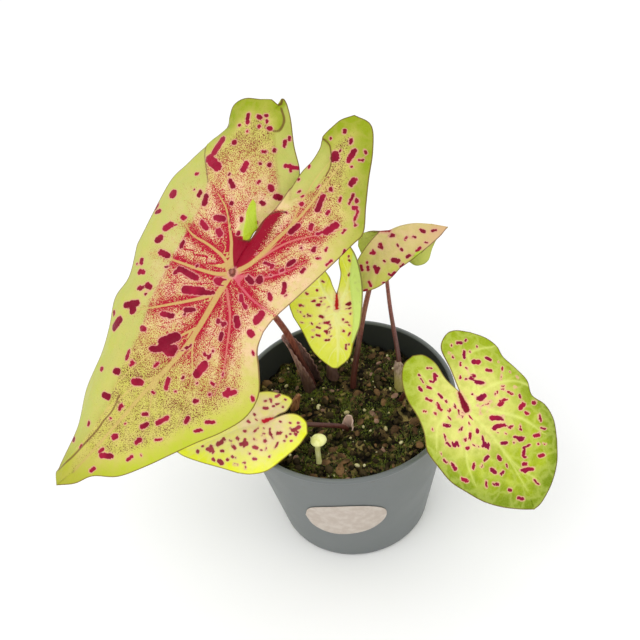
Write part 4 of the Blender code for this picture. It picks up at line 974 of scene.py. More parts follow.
# Marks read from the photograph, in its pixels: each spot is a stroke (x1, y1, x2, y2, width).
SPOTS = {
    "leaf_1": [(223, 140, 215, 153, 5.8), (210, 159, 218, 167, 7.8), (249, 115, 248, 123, 3.1),
        (259, 117, 261, 118, 3.7), (267, 116, 267, 116, 3.1), (260, 127, 260, 127, 3.1),
        (270, 129, 271, 129, 4.2), (240, 126, 240, 126, 2.6), (248, 132, 248, 132, 2.6),
        (235, 143, 235, 143, 4.7), (247, 164, 244, 170, 5.2), (264, 152, 266, 152, 2.6),
        (261, 164, 261, 164, 2.6), (270, 165, 270, 166, 3.7), (230, 175, 230, 175, 3.1),
        (231, 181, 234, 187, 3.9), (200, 192, 199, 195, 3.9), (206, 197, 205, 203, 5.8),
        (196, 174, 198, 174, 2.1), (173, 194, 174, 194, 6.8), (158, 204, 155, 209, 1.8),
        (156, 212, 160, 211, 3.1), (182, 217, 184, 218, 3.9), (171, 225, 166, 228, 5.8),
        (161, 238, 158, 240, 5.8), (160, 252, 167, 255, 5.2), (142, 260, 142, 263, 3.7),
        (140, 272, 144, 272, 3.7), (139, 288, 142, 288, 3.4), (147, 285, 150, 287, 4.7),
        (145, 294, 146, 294, 2.1), (126, 305, 137, 303, 4.7), (132, 304, 132, 310, 6.8),
        (120, 320, 115, 327, 6.3), (114, 312, 114, 314, 3.1), (142, 328, 145, 329, 4.7),
        (129, 352, 127, 358, 4.4), (102, 369, 102, 369, 3.7), (115, 371, 118, 372, 5.2),
        (135, 382, 140, 382, 6.8), (104, 395, 108, 397, 5.2), (89, 422, 88, 425, 2.1),
        (73, 439, 73, 440, 3.1), (203, 223, 207, 228, 5.2), (217, 218, 223, 219, 5.8),
        (219, 231, 221, 235, 5.2), (232, 203, 232, 204, 3.7), (271, 187, 272, 190, 4.7),
        (277, 197, 280, 198, 5.8), (262, 203, 264, 204, 4.2), (301, 204, 302, 204, 3.7),
        (184, 242, 182, 247, 3.7), (180, 269, 197, 278, 5.2), (186, 290, 202, 291, 7.3),
        (202, 293, 213, 293, 3.7), (218, 281, 223, 282, 7.3), (210, 262, 215, 263, 3.1),
        (163, 314, 173, 316, 4.7), (186, 310, 194, 310, 4.2), (152, 349, 175, 348, 5.8),
        (163, 342, 176, 337, 8.9), (166, 348, 171, 352, 9.4), (205, 365, 197, 374, 7.8),
        (169, 379, 167, 388, 3.9), (237, 319, 238, 325, 6.3), (222, 334, 221, 339, 3.7),
        (224, 324, 224, 324, 4.7), (219, 321, 219, 322, 3.7), (241, 296, 242, 300, 3.7),
        (244, 304, 247, 308, 2.9), (262, 314, 257, 321, 6.8), (251, 333, 252, 334, 6.3),
        (225, 394, 236, 392, 4.4), (229, 390, 228, 395, 4.7), (195, 401, 198, 401, 3.7),
        (210, 394, 210, 395, 2.6), (189, 418, 186, 422, 3.7), (196, 431, 202, 430, 2.4),
        (207, 422, 215, 422, 2.6), (142, 427, 147, 424, 3.9), (158, 423, 168, 418, 3.9),
        (144, 414, 147, 414, 3.1), (114, 437, 117, 436, 4.7), (137, 442, 140, 440, 3.9),
        (156, 440, 162, 439, 2.1), (102, 455, 112, 456, 4.4), (128, 460, 133, 456, 2.4),
        (91, 471, 95, 468, 2.6), (142, 455, 142, 455, 1.6), (355, 151, 349, 161, 4.2),
        (352, 167, 352, 167, 2.1), (335, 155, 336, 158, 6.8), (332, 158, 333, 160, 3.7),
        (345, 131, 345, 133, 2.9), (352, 140, 351, 144, 2.6), (366, 152, 366, 153, 2.9),
        (331, 138, 331, 139, 1.8), (355, 180, 351, 185, 4.2), (331, 189, 331, 190, 3.7),
        (323, 197, 318, 210, 5.2), (354, 195, 350, 204, 1.8), (341, 198, 340, 202, 1.8),
        (357, 200, 357, 202, 2.9), (329, 212, 327, 214, 2.6), (358, 212, 355, 221, 1.6),
        (312, 226, 311, 229, 4.2), (298, 226, 291, 232, 5.2), (336, 225, 326, 232, 5.8),
        (328, 231, 317, 234, 2.1), (345, 230, 343, 233, 1.6), (356, 225, 355, 226, 2.1),
        (315, 248, 314, 251, 3.7), (327, 248, 326, 251, 1.8), (294, 261, 288, 265, 3.4),
        (305, 269, 302, 272, 2.9), (273, 266, 272, 268, 2.9), (283, 270, 281, 271, 2.6),
        (260, 279, 260, 281, 6.3), (248, 278, 252, 282, 5.2), (285, 284, 284, 293, 3.9),
        (286, 295, 286, 296, 2.1), (270, 295, 271, 299, 3.7), (332, 260, 327, 265, 1.6),
        (345, 250, 343, 254, 1.6), (286, 166, 298, 168, 3.9), (290, 165, 291, 171, 2.1),
        (285, 141, 284, 146, 2.6), (289, 137, 289, 140, 1.6), (176, 171, 180, 168, 1.8),
        (176, 273, 179, 270, 3.7), (205, 354, 206, 355, 2.6), (212, 383, 214, 385, 2.6),
        (253, 352, 254, 354, 2.6), (223, 374, 223, 375, 2.6), (265, 263, 270, 265, 2.6),
        (309, 166, 309, 167, 2.4), (298, 179, 298, 180, 1.8), (186, 348, 190, 345, 3.1),
        (159, 363, 155, 367, 1.8), (132, 361, 132, 361, 2.1), (111, 418, 111, 419, 1.6),
        (152, 392, 154, 393, 1.8), (176, 391, 177, 391, 1.8), (197, 383, 198, 383, 1.8)],
    "leaf_2": [(306, 293, 308, 294, 1.6), (320, 298, 325, 298, 1.1), (312, 301, 315, 301, 1.6),
        (317, 305, 320, 305, 1.8), (299, 305, 303, 306, 1.5), (298, 311, 301, 312, 1),
        (307, 314, 311, 316, 1.5), (320, 316, 323, 317, 2.3), (324, 323, 329, 322, 1.6),
        (328, 323, 330, 325, 1.3), (311, 323, 312, 324, 1), (317, 327, 320, 328, 1.3),
        (325, 331, 329, 332, 1.4), (326, 332, 327, 334, 1.6), (316, 335, 320, 336, 1.4),
        (325, 340, 329, 340, 1.7), (317, 290, 318, 290, 1.4), (322, 281, 324, 282, 1.3),
        (347, 305, 350, 303, 2.3), (346, 309, 351, 308, 0.9), (350, 314, 351, 313, 1),
        (343, 319, 343, 320, 1.5), (345, 322, 348, 322, 0.9), (349, 325, 350, 326, 0.8),
        (343, 331, 344, 331, 1.8), (350, 333, 348, 336, 1), (346, 345, 346, 349, 1.5),
        (349, 345, 349, 344, 0.8), (350, 274, 349, 275, 1.3), (349, 260, 350, 261, 1),
        (356, 288, 359, 291, 0.8), (358, 302, 359, 302, 1), (358, 280, 359, 282, 0.7),
        (355, 282, 355, 283, 0.7), (359, 275, 359, 275, 0.7), (326, 310, 330, 307, 1),
        (328, 308, 329, 308, 1.3), (312, 337, 313, 337, 0.9), (301, 322, 303, 323, 0.6),
        (324, 304, 324, 304, 1), (331, 336, 332, 336, 0.9), (321, 301, 322, 301, 0.8),
        (312, 330, 314, 330, 0.7), (349, 256, 349, 257, 0.8), (360, 304, 361, 305, 0.7),
        (329, 329, 331, 328, 0.9), (319, 324, 320, 324, 0.7), (304, 316, 306, 317, 0.7)],
    "leaf_3": [(390, 236, 394, 235, 2.8), (392, 234, 392, 236, 1.6), (405, 240, 407, 237, 1.8),
        (413, 237, 415, 237, 1.8), (421, 230, 424, 231, 2.8), (424, 232, 424, 232, 2.1),
        (432, 231, 436, 230, 1.8), (380, 244, 382, 248, 2.5), (379, 247, 382, 247, 2.3),
        (371, 253, 375, 253, 2.3), (373, 250, 374, 253, 1.1), (397, 244, 398, 246, 1.4),
        (401, 249, 402, 250, 1.8), (417, 251, 420, 248, 2.3), (425, 242, 428, 243, 0.9),
        (393, 260, 398, 261, 4.1), (407, 257, 410, 255, 2.1), (414, 256, 417, 256, 1.6),
        (375, 267, 377, 272, 3.4), (376, 269, 378, 269, 4.1), (384, 261, 385, 262, 1.6),
        (367, 262, 367, 263, 1.5), (361, 266, 362, 270, 2.5), (368, 267, 368, 270, 2.1),
        (401, 267, 403, 265, 2.5), (392, 275, 395, 273, 2.5), (389, 274, 390, 275, 1.1),
        (369, 282, 371, 286, 2.1), (383, 283, 384, 283, 1.8), (363, 291, 367, 290, 1.6)],
    "leaf_4": [(218, 444, 222, 442, 4.2), (211, 446, 213, 452, 2.6), (207, 449, 210, 451, 2.4),
        (245, 440, 244, 446, 2.6), (241, 444, 247, 444, 3.0), (237, 438, 238, 439, 2.6),
        (234, 447, 235, 448, 2.6), (254, 447, 257, 448, 3.1), (219, 461, 222, 463, 3.7),
        (197, 451, 198, 452, 2.4), (227, 460, 228, 459, 2.1), (277, 433, 281, 433, 2.6),
        (270, 433, 271, 435, 2.1), (294, 430, 299, 427, 3.1), (295, 434, 296, 435, 2.1),
        (254, 459, 256, 459, 2.1), (244, 463, 245, 463, 1.8), (232, 456, 233, 457, 1.8),
        (264, 408, 267, 408, 2.6), (277, 396, 279, 395, 2.4), (277, 404, 278, 404, 1.8),
        (270, 399, 271, 400, 1.6), (213, 459, 214, 460, 2.4), (223, 438, 225, 440, 1.8),
        (265, 440, 266, 442, 2.1), (249, 453, 250, 454, 1.6), (261, 450, 262, 450, 1.6),
        (265, 401, 266, 401, 1.5), (271, 399, 271, 402, 1.2), (273, 406, 274, 406, 1.4), (276, 404, 277, 404, 1.2),
        (283, 407, 283, 407, 1.4), (285, 399, 286, 400, 1.0), (276, 397, 277, 397, 1.0), (254, 414, 255, 415, 1.4),
        (256, 419, 257, 420, 1.4), (248, 421, 249, 422, 2.4), (244, 431, 246, 431, 2.0), (254, 432, 258, 428, 1.6),
        (263, 427, 264, 429, 1.4), (270, 428, 270, 432, 1.3), (262, 435, 265, 434, 1.2), (272, 437, 273, 438, 1.4),
        (290, 428, 292, 430, 1.4), (293, 431, 295, 432, 1.4), (296, 431, 298, 432, 1.2), (290, 434, 291, 434, 1.2),
        (298, 423, 299, 423, 1.4), (290, 423, 291, 423, 1.0), (280, 421, 281, 422, 1.2), (284, 441, 285, 441, 1.3),
        (291, 441, 292, 441, 1.2), (278, 443, 275, 448, 1.4), (270, 456, 269, 457, 1.4), (266, 448, 266, 450, 1.2),
        (264, 441, 264, 442, 1.2), (245, 468, 246, 468, 1.3), (245, 461, 245, 462, 1.0), (234, 464, 238, 465, 1.4),
        (235, 458, 236, 458, 1.0), (221, 451, 223, 451, 1.8), (230, 440, 231, 441, 1.6), (232, 445, 233, 446, 1.2),
        (286, 436, 287, 437, 1.6), (202, 446, 203, 446, 1.6), (254, 439, 256, 440, 1.6)],
    "leaf_5": [(457, 343, 460, 343, 2.6), (465, 341, 466, 340, 1.5), (464, 351, 464, 358, 2.3),
        (474, 362, 478, 362, 4.3), (486, 358, 490, 360, 2.6), (486, 370, 491, 371, 2.3),
        (472, 378, 474, 376, 3.1), (476, 382, 483, 383, 3.3), (479, 399, 484, 396, 4.6),
        (474, 408, 479, 406, 2), (485, 404, 491, 401, 1.4), (488, 408, 490, 407, 1.4),
        (491, 418, 503, 418, 4.3), (494, 428, 498, 426, 4.3), (498, 426, 505, 425, 2.6),
        (509, 428, 512, 426, 2.6), (500, 401, 506, 399, 2.3), (498, 405, 502, 404, 2.8),
        (495, 395, 497, 392, 2), (508, 392, 512, 394, 2), (501, 386, 504, 386, 1), (501, 389, 504, 389, 1),
        (519, 395, 520, 398, 1.9), (520, 408, 523, 404, 3.8), (525, 413, 528, 413, 2.6),
        (533, 403, 535, 402, 2.8), (539, 415, 540, 421, 2), (541, 428, 545, 429, 1.7),
        (534, 436, 539, 435, 2.6), (537, 444, 539, 444, 1.4), (539, 456, 543, 455, 3.2),
        (514, 437, 523, 439, 2.3), (519, 440, 523, 438, 3.1), (530, 445, 523, 448, 1.3),
        (524, 448, 523, 456, 2.3), (523, 456, 525, 457, 2.3), (523, 464, 526, 464, 2.6),
        (522, 470, 533, 469, 2.6), (525, 471, 528, 469, 3.3), (534, 480, 538, 484, 1.5),
        (518, 498, 523, 499, 2.3), (509, 490, 510, 490, 3.1), (493, 484, 498, 484, 2.2),
        (486, 481, 486, 487, 1.5), (462, 479, 467, 481, 2.8), (474, 464, 473, 469, 2.3),
        (451, 463, 456, 469, 2.3), (454, 467, 455, 469, 3.1), (444, 460, 446, 462, 2.3),
        (452, 443, 459, 446, 2.3), (454, 446, 457, 442, 2.8), (444, 435, 446, 440, 1.4),
        (446, 444, 450, 446, 1.7), (465, 440, 466, 439, 3.1), (470, 433, 470, 438, 2.3),
        (477, 430, 477, 432, 3.1), (482, 437, 483, 441, 2.3), (483, 446, 488, 444, 3.1),
        (484, 444, 488, 448, 2.8), (467, 448, 468, 448, 3.1), (473, 445, 478, 447, 1.4),
        (488, 456, 484, 460, 2.8), (498, 457, 500, 459, 3.6), (502, 443, 506, 443, 2.6),
        (492, 434, 493, 435, 2.3), (491, 470, 495, 472, 3.6), (501, 474, 503, 472, 2.6),
        (481, 466, 482, 466, 2), (506, 465, 507, 467, 1.5), (444, 425, 449, 426, 3.1),
        (462, 428, 459, 431, 1.9), (460, 412, 458, 421, 1.8), (463, 414, 460, 418, 2),
        (454, 407, 459, 409, 1.3), (448, 411, 451, 409, 2), (446, 401, 447, 402, 2.3),
        (439, 394, 442, 398, 2.3), (437, 404, 440, 409, 2.3), (438, 408, 441, 410, 2.3),
        (426, 399, 431, 401, 2.3), (434, 374, 437, 376, 2.3), (434, 377, 435, 379, 2.6),
        (430, 381, 433, 382, 1.7), (427, 387, 431, 388, 2.3), (427, 368, 431, 368, 1.5),
        (421, 379, 423, 382, 1.3), (419, 375, 420, 376, 1.4), (419, 388, 421, 390, 2.6),
        (423, 411, 426, 412, 1.4), (434, 413, 436, 414, 1.7), (471, 393, 472, 394, 1.9),
        (466, 368, 467, 369, 1.7), (460, 363, 460, 365, 1.8), (469, 416, 472, 419, 1.5),
        (469, 423, 470, 425, 1), (460, 376, 460, 379, 1.1), (465, 379, 467, 379, 1.3),
        (469, 374, 470, 375, 1), (448, 417, 450, 419, 1), (454, 404, 455, 405, 0.9),
        (432, 428, 433, 430, 1.1), (440, 453, 441, 453, 0.9), (451, 345, 451, 346, 1.1),
        (449, 353, 449, 353, 0.9), (452, 356, 453, 358, 1.1), (470, 351, 470, 352, 1.1),
        (477, 346, 477, 347, 1), (480, 414, 481, 414, 1), (520, 424, 520, 426, 1.1),
        (520, 429, 521, 430, 1.4), (513, 442, 514, 443, 1.1), (505, 433, 506, 434, 1),
        (498, 433, 498, 433, 0.8), (510, 372, 510, 372, 1.1), (502, 368, 502, 370, 1.7),
        (517, 377, 518, 378, 1), (498, 362, 498, 362, 0.8), (501, 375, 501, 379, 0.6),
        (514, 387, 516, 387, 1), (544, 444, 545, 444, 0.9)],
}
# Side veins, in the photograph's pixels: half of the blade, half width in millimetres, how pink, and points.
VEINS = {
    "leaf_1": [
        (-1, 0.95, 0, [(233, 273), (231, 254), (231.5, 243), (230.5, 234), (229, 222), (226, 208), (219, 195)]),
        (-1, 0.90, 0, [(233, 273), (224, 258), (214.6, 249.3), (205, 242.3), (193, 235), (181, 220)]),
        (-1, 0.95, 0, [(233, 273), (218, 274), (205, 271), (190, 266), (173, 260), (150, 252)]),
        (-1, 0.90, 0, [(223, 291), (197, 299), (155, 307), (130, 310)]),
        (-1, 0.60, 0, [(200, 326), (180, 336), (155, 350), (130, 370), (112, 388)]),
        (-1, 0.55, 0, [(160, 375), (138, 384), (118, 400), (98, 418)]),
        (1, 1.15, 0, [(233, 273), (249.6, 264.6), (265.6, 250.6), (278, 238), (291, 226), (310, 205), (340, 165)]),
        (1, 0.60, 0.8, [(256, 260), (262, 257), (289, 242), (323, 234), (345, 229)]),
        (1, 0.75, 1, [(233, 273), (242, 288), (255, 302), (270, 312), (280, 318)]),
        (1, 0.70, 0.8, [(227, 291), (230, 318), (227, 346), (223, 372), (214, 395)]),
        (1, 0.60, 1, [(233, 273), (250, 277), (262, 278), (285, 272), (305, 262)]),
        (1, 0.50, 0, [(195, 333), (192, 352), (192, 375), (186, 402), (176, 430)]),
        (1, 0.45, 0, [(160, 375), (152, 395), (148, 420), (140, 440)]),
        (1, 0.45, 0, [(291, 226), (300, 205), (314, 180), (330, 160)])],
    "leaf_5": [
        (1, 1.1, 0, [(466.5, 408), (474, 390), (474, 370), (468, 355), (480, 349), (492, 347)]),
        (-1, 1.0, 0, [(466.5, 408), (448, 400), (433, 388), (420, 372)]),
        (1, 1.1, 0, [(466.5, 408), (480, 393), (498, 383), (516, 381), (530, 386)]),
        (1, 1.1, 0, [(466.5, 408), (480, 407), (498, 412), (516, 416), (528, 422), (542, 432)]),
        (1, 0.8, 0, [(492, 437), (511, 460), (524, 471), (535, 478)]),
        (-1, 1.0, 0, [(466.5, 408), (453, 410), (443.5, 419.5), (437.4, 428), (436.8, 448)]),
        (-1, 1.1, 0, [(466.5, 408), (468, 425.6), (466.5, 446), (467.7, 464), (474, 482)])],
}
# Folds and fields of one colour, in the photograph's pixels: half, kind, lift in millimetres, outline. The pale kind is
# painted lighter where the blade bends at the folds: painted light.
PATCHES = {
    "leaf_1": [
        (-1, PALE, -1.8, [(229, 126), (216, 135), (206, 144), (205, 157), (208, 182), (205, 197), (192, 222), (178, 247),
                          (165, 272), (150, 300), (141, 331), (128, 354), (117, 378), (108, 404), (92, 430), (70, 456),
                          (58, 470), (40, 470), (90, 330), (150, 190), (200, 130), (226, 105)]),
        (-1, PALE, -1.5, [(281, 108), (284, 120), (280, 130), (274, 132), (276, 160), (280, 200), (330, 195), (292, 92)]),
        (1, PALE, -1.5, [(320, 137), (326, 141), (330, 146), (331, 152), (331, 160), (329, 168), (325, 176), (314, 190),
                         (290, 200), (290, 150), (316, 130)]),
        (-1, DEEP, 0.0, [(232, 236), (246, 239), (258, 231), (262, 236), (246, 262), (235, 270), (231, 268)]),
        (1, DEEP, 0.0, [(232, 236), (246, 239), (258, 230), (266, 219), (276, 213), (286, 214), (278, 230), (262, 246),
                        (246, 262), (236, 270), (231, 262)]),
        (-1, PALE, 0.0, [(247, 214), (245.8, 218), (240.7, 224), (237, 231), (235.6, 236.2), (243, 239.5), (250, 232)]),
        (-1, GREEN, 0.8, [(253.8, 199), (249.6, 206), (247, 213), (246.3, 222), (244, 231), (243.5, 240), (250, 241),
                          (258, 232), (258, 225), (257.3, 215), (257, 204)])],
    "leaf_2": [
        (1, GREEN, 1.0, [(353, 250), (349, 280), (353, 315), (351, 343), (372, 345), (368, 300), (366, 250)])],
    "leaf_3": [
        (-1, GREEN, 0.8, [(429, 258), (424, 250), (416, 252), (410, 261), (414, 270), (436, 268)])],
}
# Dark edges of the folds, in the photograph's pixels, each with its half of the blade. Each line stands partly for the
# leaf's own dark margin where it folds over, and partly for the shadow along the fold: painted shadow.
CREASES = {
    "leaf_1": [
        (-1, [(229, 126), (216, 135), (206, 144), (205, 157), (207, 172), (208, 182)]),
        (-1, [(119, 395), (113, 410), (104, 421), (98, 430), (86, 443), (74, 456), (66, 463), (58, 470)]),
        (-1, [(281, 108), (284, 120), (280, 130), (274, 131.5)]),
        (1, [(320, 137), (326, 141), (330, 146), (331, 152), (331, 160), (330, 168), (326, 176)]),
        (-1, [(228.5, 210), (229.6, 220.6), (230.4, 228.3), (233.7, 235.3), (241, 239.8), (249, 240.6), (258, 231.5)]),
        (1, [(241, 239.8), (249, 240.6), (258, 231.5), (265.6, 218), (275, 212.5), (286, 212)])],
}
SKINS = {
    "leaf_1": dict(heart=(0.78, 0.54, 0.32), middle=(0.60, 0.53, 0.13), rim=(0.47, 0.53, 0.03),
                   deep=((0.26, 0.33, 0.004), 25, 60), vein=(0.60, 0.44, 0.14), network=0.15, specks=True,
                   streak=(0.22, 0.075, 0.045), spot=(0.20, 0.0, 0.018)),
    # Painted light: leaf_2's colours are raised above the leaf's own, to make up for the shade that leaf_1 casts on it.
    "leaf_2": dict(heart=(0.92, 0.84, 0.30), middle=(0.88, 0.84, 0.15), rim=(0.80, 0.84, 0.06),
                   vein=(0.92, 0.92, 0.42), network=0.1, vein_share=0.5, green=(0.66, 0.84, 0.22),
                   spot=(0.22, 0.01, 0.02), halo=(0.80, 0.50, 0.30), streak=(0.50, 0.010, 0.012)),
    "leaf_3": dict(heart=(0.70, 0.52, 0.24), middle=(0.64, 0.53, 0.20), rim=(0.50, 0.50, 0.08),
                   deep=((0.66, 0.42, 0.22), -4, -26), vein=(0.66, 0.60, 0.26), vein_share=0.2, network=0.1,
                   green=(0.42, 0.62, 0.04), spot=(0.20, 0.004, 0.020)),
    # Painted light: leaf_4's colours are raised above the leaf's own, to make up for the shade that leaf_1 casts on it.
    "leaf_4": dict(heart=(0.95, 0.74, 0.46), middle=(0.94, 0.84, 0.34), rim=(0.86, 0.90, 0.02),
                   vein=(0.84, 0.80, 0.40), network=0.15, vein_share=0.3, spot=(0.30, 0.03, 0.05),
                   bright_spot=(0.42, 0.05, 0.08),
                   halo=(0.80, 0.50, 0.34), streak=(0.60, 0.012, 0.040)),
    "leaf_5": dict(heart=(0.68, 0.66, 0.17), middle=(0.38, 0.47, 0.014), rim=(0.27, 0.36, 0.002),
                   deep=((0.16, 0.235, 0.001), 8, -36), vein=(0.76, 0.80, 0.22), network=0.2, vein_share=0.6,
                   vein_blur=1.0, spot=(0.22, 0.001, 0.035), halo=(0.80, 0.42, 0.30), streak=(0.20, 0.0, 0.016)),
    "leaf_6": dict(heart=(0.54, 0.57, 0.16), middle=(0.40, 0.49, 0.05), rim=(0.33, 0.43, 0.02),
                   vein=(0.56, 0.62, 0.16), network=0.3),
}
GROWN = {
    "leaf_1": dict(blush_reach=36.0, puff=1.1, streak=(233, 273, 235, 270, 2.0), filler=(20, 0.3, 0.7),
                   rib_width=1.5, seed=101),
    "leaf_2": dict(blush_reach=8.0, puff=0.4, streak=(336.7, 308, 336.7, 293, 1.05), rib_width=1.7, seed=102),
    "leaf_3": dict(blush_reach=12.0, puff=0.3, seed=103),
    "leaf_4": dict(blush_reach=11.0, puff=0.4, streak=(264, 421, 273, 418, 1.2), seed=104),
    "leaf_5": dict(blush_reach=18.0, puff=0.5, streak=(466, 409, 459, 393, 1.9), rib_width=0.9, seed=105),
    "leaf_6": dict(blush_reach=7.0, puff=0.3, filler=(16, 0.4, 1.0), seed=106),
}
for name in LEAVES:
    skins = [leaf_finish(name + "_upper_skin", **SKINS[name]),
             leaf_finish(name + "_under_skin", **SKINS[name], under=(0.48, 0.58, 0.08))]
    drawn = [table.get(name, ()) for table in (SPOTS, VEINS, PATCHES, CREASES)]
    sheet = blade(name, *drawn, **GROWN[name])
    finished(sheet, "leaf", *skins, replaces=[name])


# The leaf stems: smooth round red-brown stalks that arch from the tuber to the joint of each leaf and
# thin towards it.
STEMS = {
    "petiole_1": {"foot": (-14, 21), "via": [(-17, 24, 76), (-22, 23, 98), (-26, 19, 120), (-33, 9, 148)],
                  "radii": (2.1, 1.5)},
    "petiole_2": {"foot": (-4, 25), "via": [(-5, 28, 76), (-3, 31, 105), (-1, 27, 128)], "radii": (1.6, 1.0)},
    "petiole_3": {"foot": (6, 18), "via": [(6, 20, 76), (10, 25, 95), (17, 35, 119), (25, 42, 141)],
                  "radii": (1.9, 1.2)},
    "petiole_4": {"foot": (1, -9), "via": [(0, -12, 70), (-1, -14, 77), (-6, -18, 85), (-24, -22, 94),
                                           (-38, -22, 97)], "radii": (1.5, 1.1)},
    "petiole_5": {"foot": (27, 4), "via": [(31, 3, 76), (37, -5, 92), (47, -22, 107)], "radii": (1.6, 1.2)},
    "petiole_6": {"foot": (28, 12), "via": [(32, 13, 70), (33, 15, 79), (33, 23, 92), (32, 43, 109), (32, 56, 126)],
                  "radii": (1.6, 1.0)},
}


def stem_path(stem, leaf):
    x, y = stem["foot"]
    u, v = (x - 5) / 32, (y - 8) / 25
    top = 43 + 13 * math.sqrt(1 - u * u - v * v)
    out = leaf_turn(leaf) @ Vector(leaf.get("under", (0, 0, -1.0)))
    joint = Vector(leaf["place"]) + out
    under = joint + out.normalized() * 4
    return spline([(x, y, top)] + list(stem["via"]) + [tuple(under), tuple(joint)], 90)


def tube(name, path, radii, sides=20, cap=True):
    """A round stalk along a path, with a radius for every point of it."""
    path = np.asarray(path, dtype=float)
    along = np.gradient(path, axis=0)
    along /= np.linalg.norm(along, axis=1)[:, None]
    side = np.cross(along[0], (0.3, 0.9, 0.1))
    points, faces = [], []
    for p, t, r in zip(path, along, radii):
        side = side - t * np.dot(side, t)
        side /= np.linalg.norm(side)
        other = np.cross(t, side)
        for k in range(sides):
            a = math.tau * k / sides
            points.append(p + r * (math.cos(a) * side + math.sin(a) * other))
    for i in range(len(path) - 1):
        for k in range(sides):
            n = (k + 1) % sides
            faces.append((i * sides + k, i * sides + n, (i + 1) * sides + n, (i + 1) * sides + k))
    if cap:
        faces.append(tuple(range(sides))[::-1])
        faces.append(tuple(range((len(path) - 1) * sides, len(path) * sides)))
    return mesh_piece(name, points, faces)


stalk = Finish("petiole_skin", 0.4)
spot = stalk.where()
streak = stalk.grain(stalk.stretch(spot, (1.0, 1.0, 0.12)), 1.3, 4.0, 0.6)
blotch = stalk.grain(spot, 0.09, 3.0)
tint = stalk.mix(stalk.fade(streak, 0.3, 0.7), (0.16, 0.028, 0.020), (0.38, 0.125, 0.085))
tint = stalk.mix(stalk.fade(blotch, 0.5, 0.7, 0.0, 0.5), tint, (0.30, 0.17, 0.09))
# Painted shade: the stalks are painted dark towards their feet, for the shade down among the leaf bases.
low = stalk.fade(stalk.split(spot)[2], 122.0, 92.0, 0.0, 0.8)
stalk.colour(stalk.mix(low, tint, (0.050, 0.012, 0.010)))
stalk.relief(streak, 0.12, 0.6)
for name, stem in STEMS.items():
    leaf = LEAVES["leaf_" + name[-1]]
    path = stem_path(stem, leaf)
    share = np.linspace(0, 1, len(path))
    radii = stem["radii"][0] + (stem["radii"][1] - stem["radii"][0]) * share
    finished(tube(name + "_stalk", path, radii), "petiole", stalk, replaces=[name])


# The leaf bases: each stem's foot opens into a pointed sheath that wraps the next one, brown-red, with a thin papery
# margin. The brown-red sheaths are painted darker towards the bottom, for the shade down among the stems: painted
# shade.
SHEATHS = {
    "sheath_1": {"back": 150, "rows": [(-17, 24, 70, 5.2, 150), (-18, 24, 84, 5.0, 135), (-21, 23, 99, 4.4, 110),
                                       (-24, 21.5, 111, 3.6, 80), (-27, 20, 119, 3.0, 30)]},
    "sheath_2": {"back": 200, "rows": [(-5, 28, 70, 3.6, 140), (-4.5, 28.5, 80, 3.4, 120), (-4, 29.5, 88, 2.9, 85),
                                       (-4.5, 30, 93, 2.5, 30)]},
    "sheath_3": {"back": 250, "rows": [(32, 13, 70, 3.4, 140), (33, 15, 79, 3.3, 120), (33, 18.5, 86, 2.9, 85),
                                       (33, 21, 91, 2.6, 30)]},
    "sheath_4": {"back": 60, "rows": [(0, -12.5, 71, 2.8, 140), (-0.3, -13.2, 76, 2.8, 120),
                                      (-0.5, -13.6, 81, 2.6, 85), (0, -14, 85, 2.6, 30)]},
}
sheath_finish = Finish("sheath_skin", 0.5)
spot = sheath_finish.where()
streak = sheath_finish.grain(sheath_finish.stretch(spot, (1.0, 1.0, 0.1)), 1.1, 5.0, 0.6)
tint = sheath_finish.mix(sheath_finish.fade(streak, 0.3, 0.7), (0.26, 0.11, 0.095), (0.58, 0.36, 0.31))
# Painted shade: darker towards the bottom.
low = sheath_finish.fade(sheath_finish.split(spot)[2], 104.0, 80.0, 0.0, 0.82)
sheath_finish.colour(sheath_finish.mix(low, tint, (0.055, 0.024, 0.018)))
sheath_finish.relief(streak, 0.25, 0.7)
pale_sheath = Finish("pale_sheath_skin", 0.55)
spot = pale_sheath.where()
streak = pale_sheath.grain(pale_sheath.stretch(spot, (1.0, 1.0, 0.1)), 1.1, 5.0, 0.6)
tint = pale_sheath.mix(pale_sheath.fade(streak, 0.3, 0.7), (0.22, 0.14, 0.10), (0.50, 0.36, 0.27))
low = pale_sheath.math("MULTIPLY", pale_sheath.fade(pale_sheath.split(spot)[2], 88.0, 80.0, 0.0, 0.75),
                       pale_sheath.fade(pale_sheath.split(spot)[0], 10.0, 20.0))
# Painted light: sheath_4, nearest the pot's axis, is painted much lighter than its own pinkish colour, to make up for
# the shade it stands in. The yellow-green at the foot of sheath_3 is its own colour.
tint = pale_sheath.mix(pale_sheath.fade(pale_sheath.split(spot)[0], 20.0, 10.0), tint, (0.85, 0.60, 0.50))
pale_sheath.colour(pale_sheath.mix(low, tint, (0.40, 0.36, 0.07)))
pale_sheath.relief(streak, 0.25, 0.7)
for name, spec in SHEATHS.items():
    rows = spline(spec["rows"], 46)
    points, faces = [], []
    for x, y, z, r, half in rows:
        for k in range(33):
            a = math.radians(spec["back"] + half * (k / 16 - 1))
            edge = abs(k / 16 - 1) ** 6
            out = r * (1 + 0.12 * edge * math.sin(z * 1.3 + k))
            points.append((x + out * math.cos(a), y + out * math.sin(a), z))
    for i in range(45):
        for k in range(32):
            a = i * 33 + k
            faces.append((a, a + 1, a + 34, a + 33))
    base_sheath = mesh_piece(name + "_base", points, faces)
    shell = base_sheath.modifiers.new("Thickness", "SOLIDIFY")
    shell.thickness = 0.5 * MM
    shell.offset = 1.0
    finished(base_sheath, "sheath", pale_sheath if name in ("sheath_3", "sheath_4") else sheath_finish,
             replaces=[name])


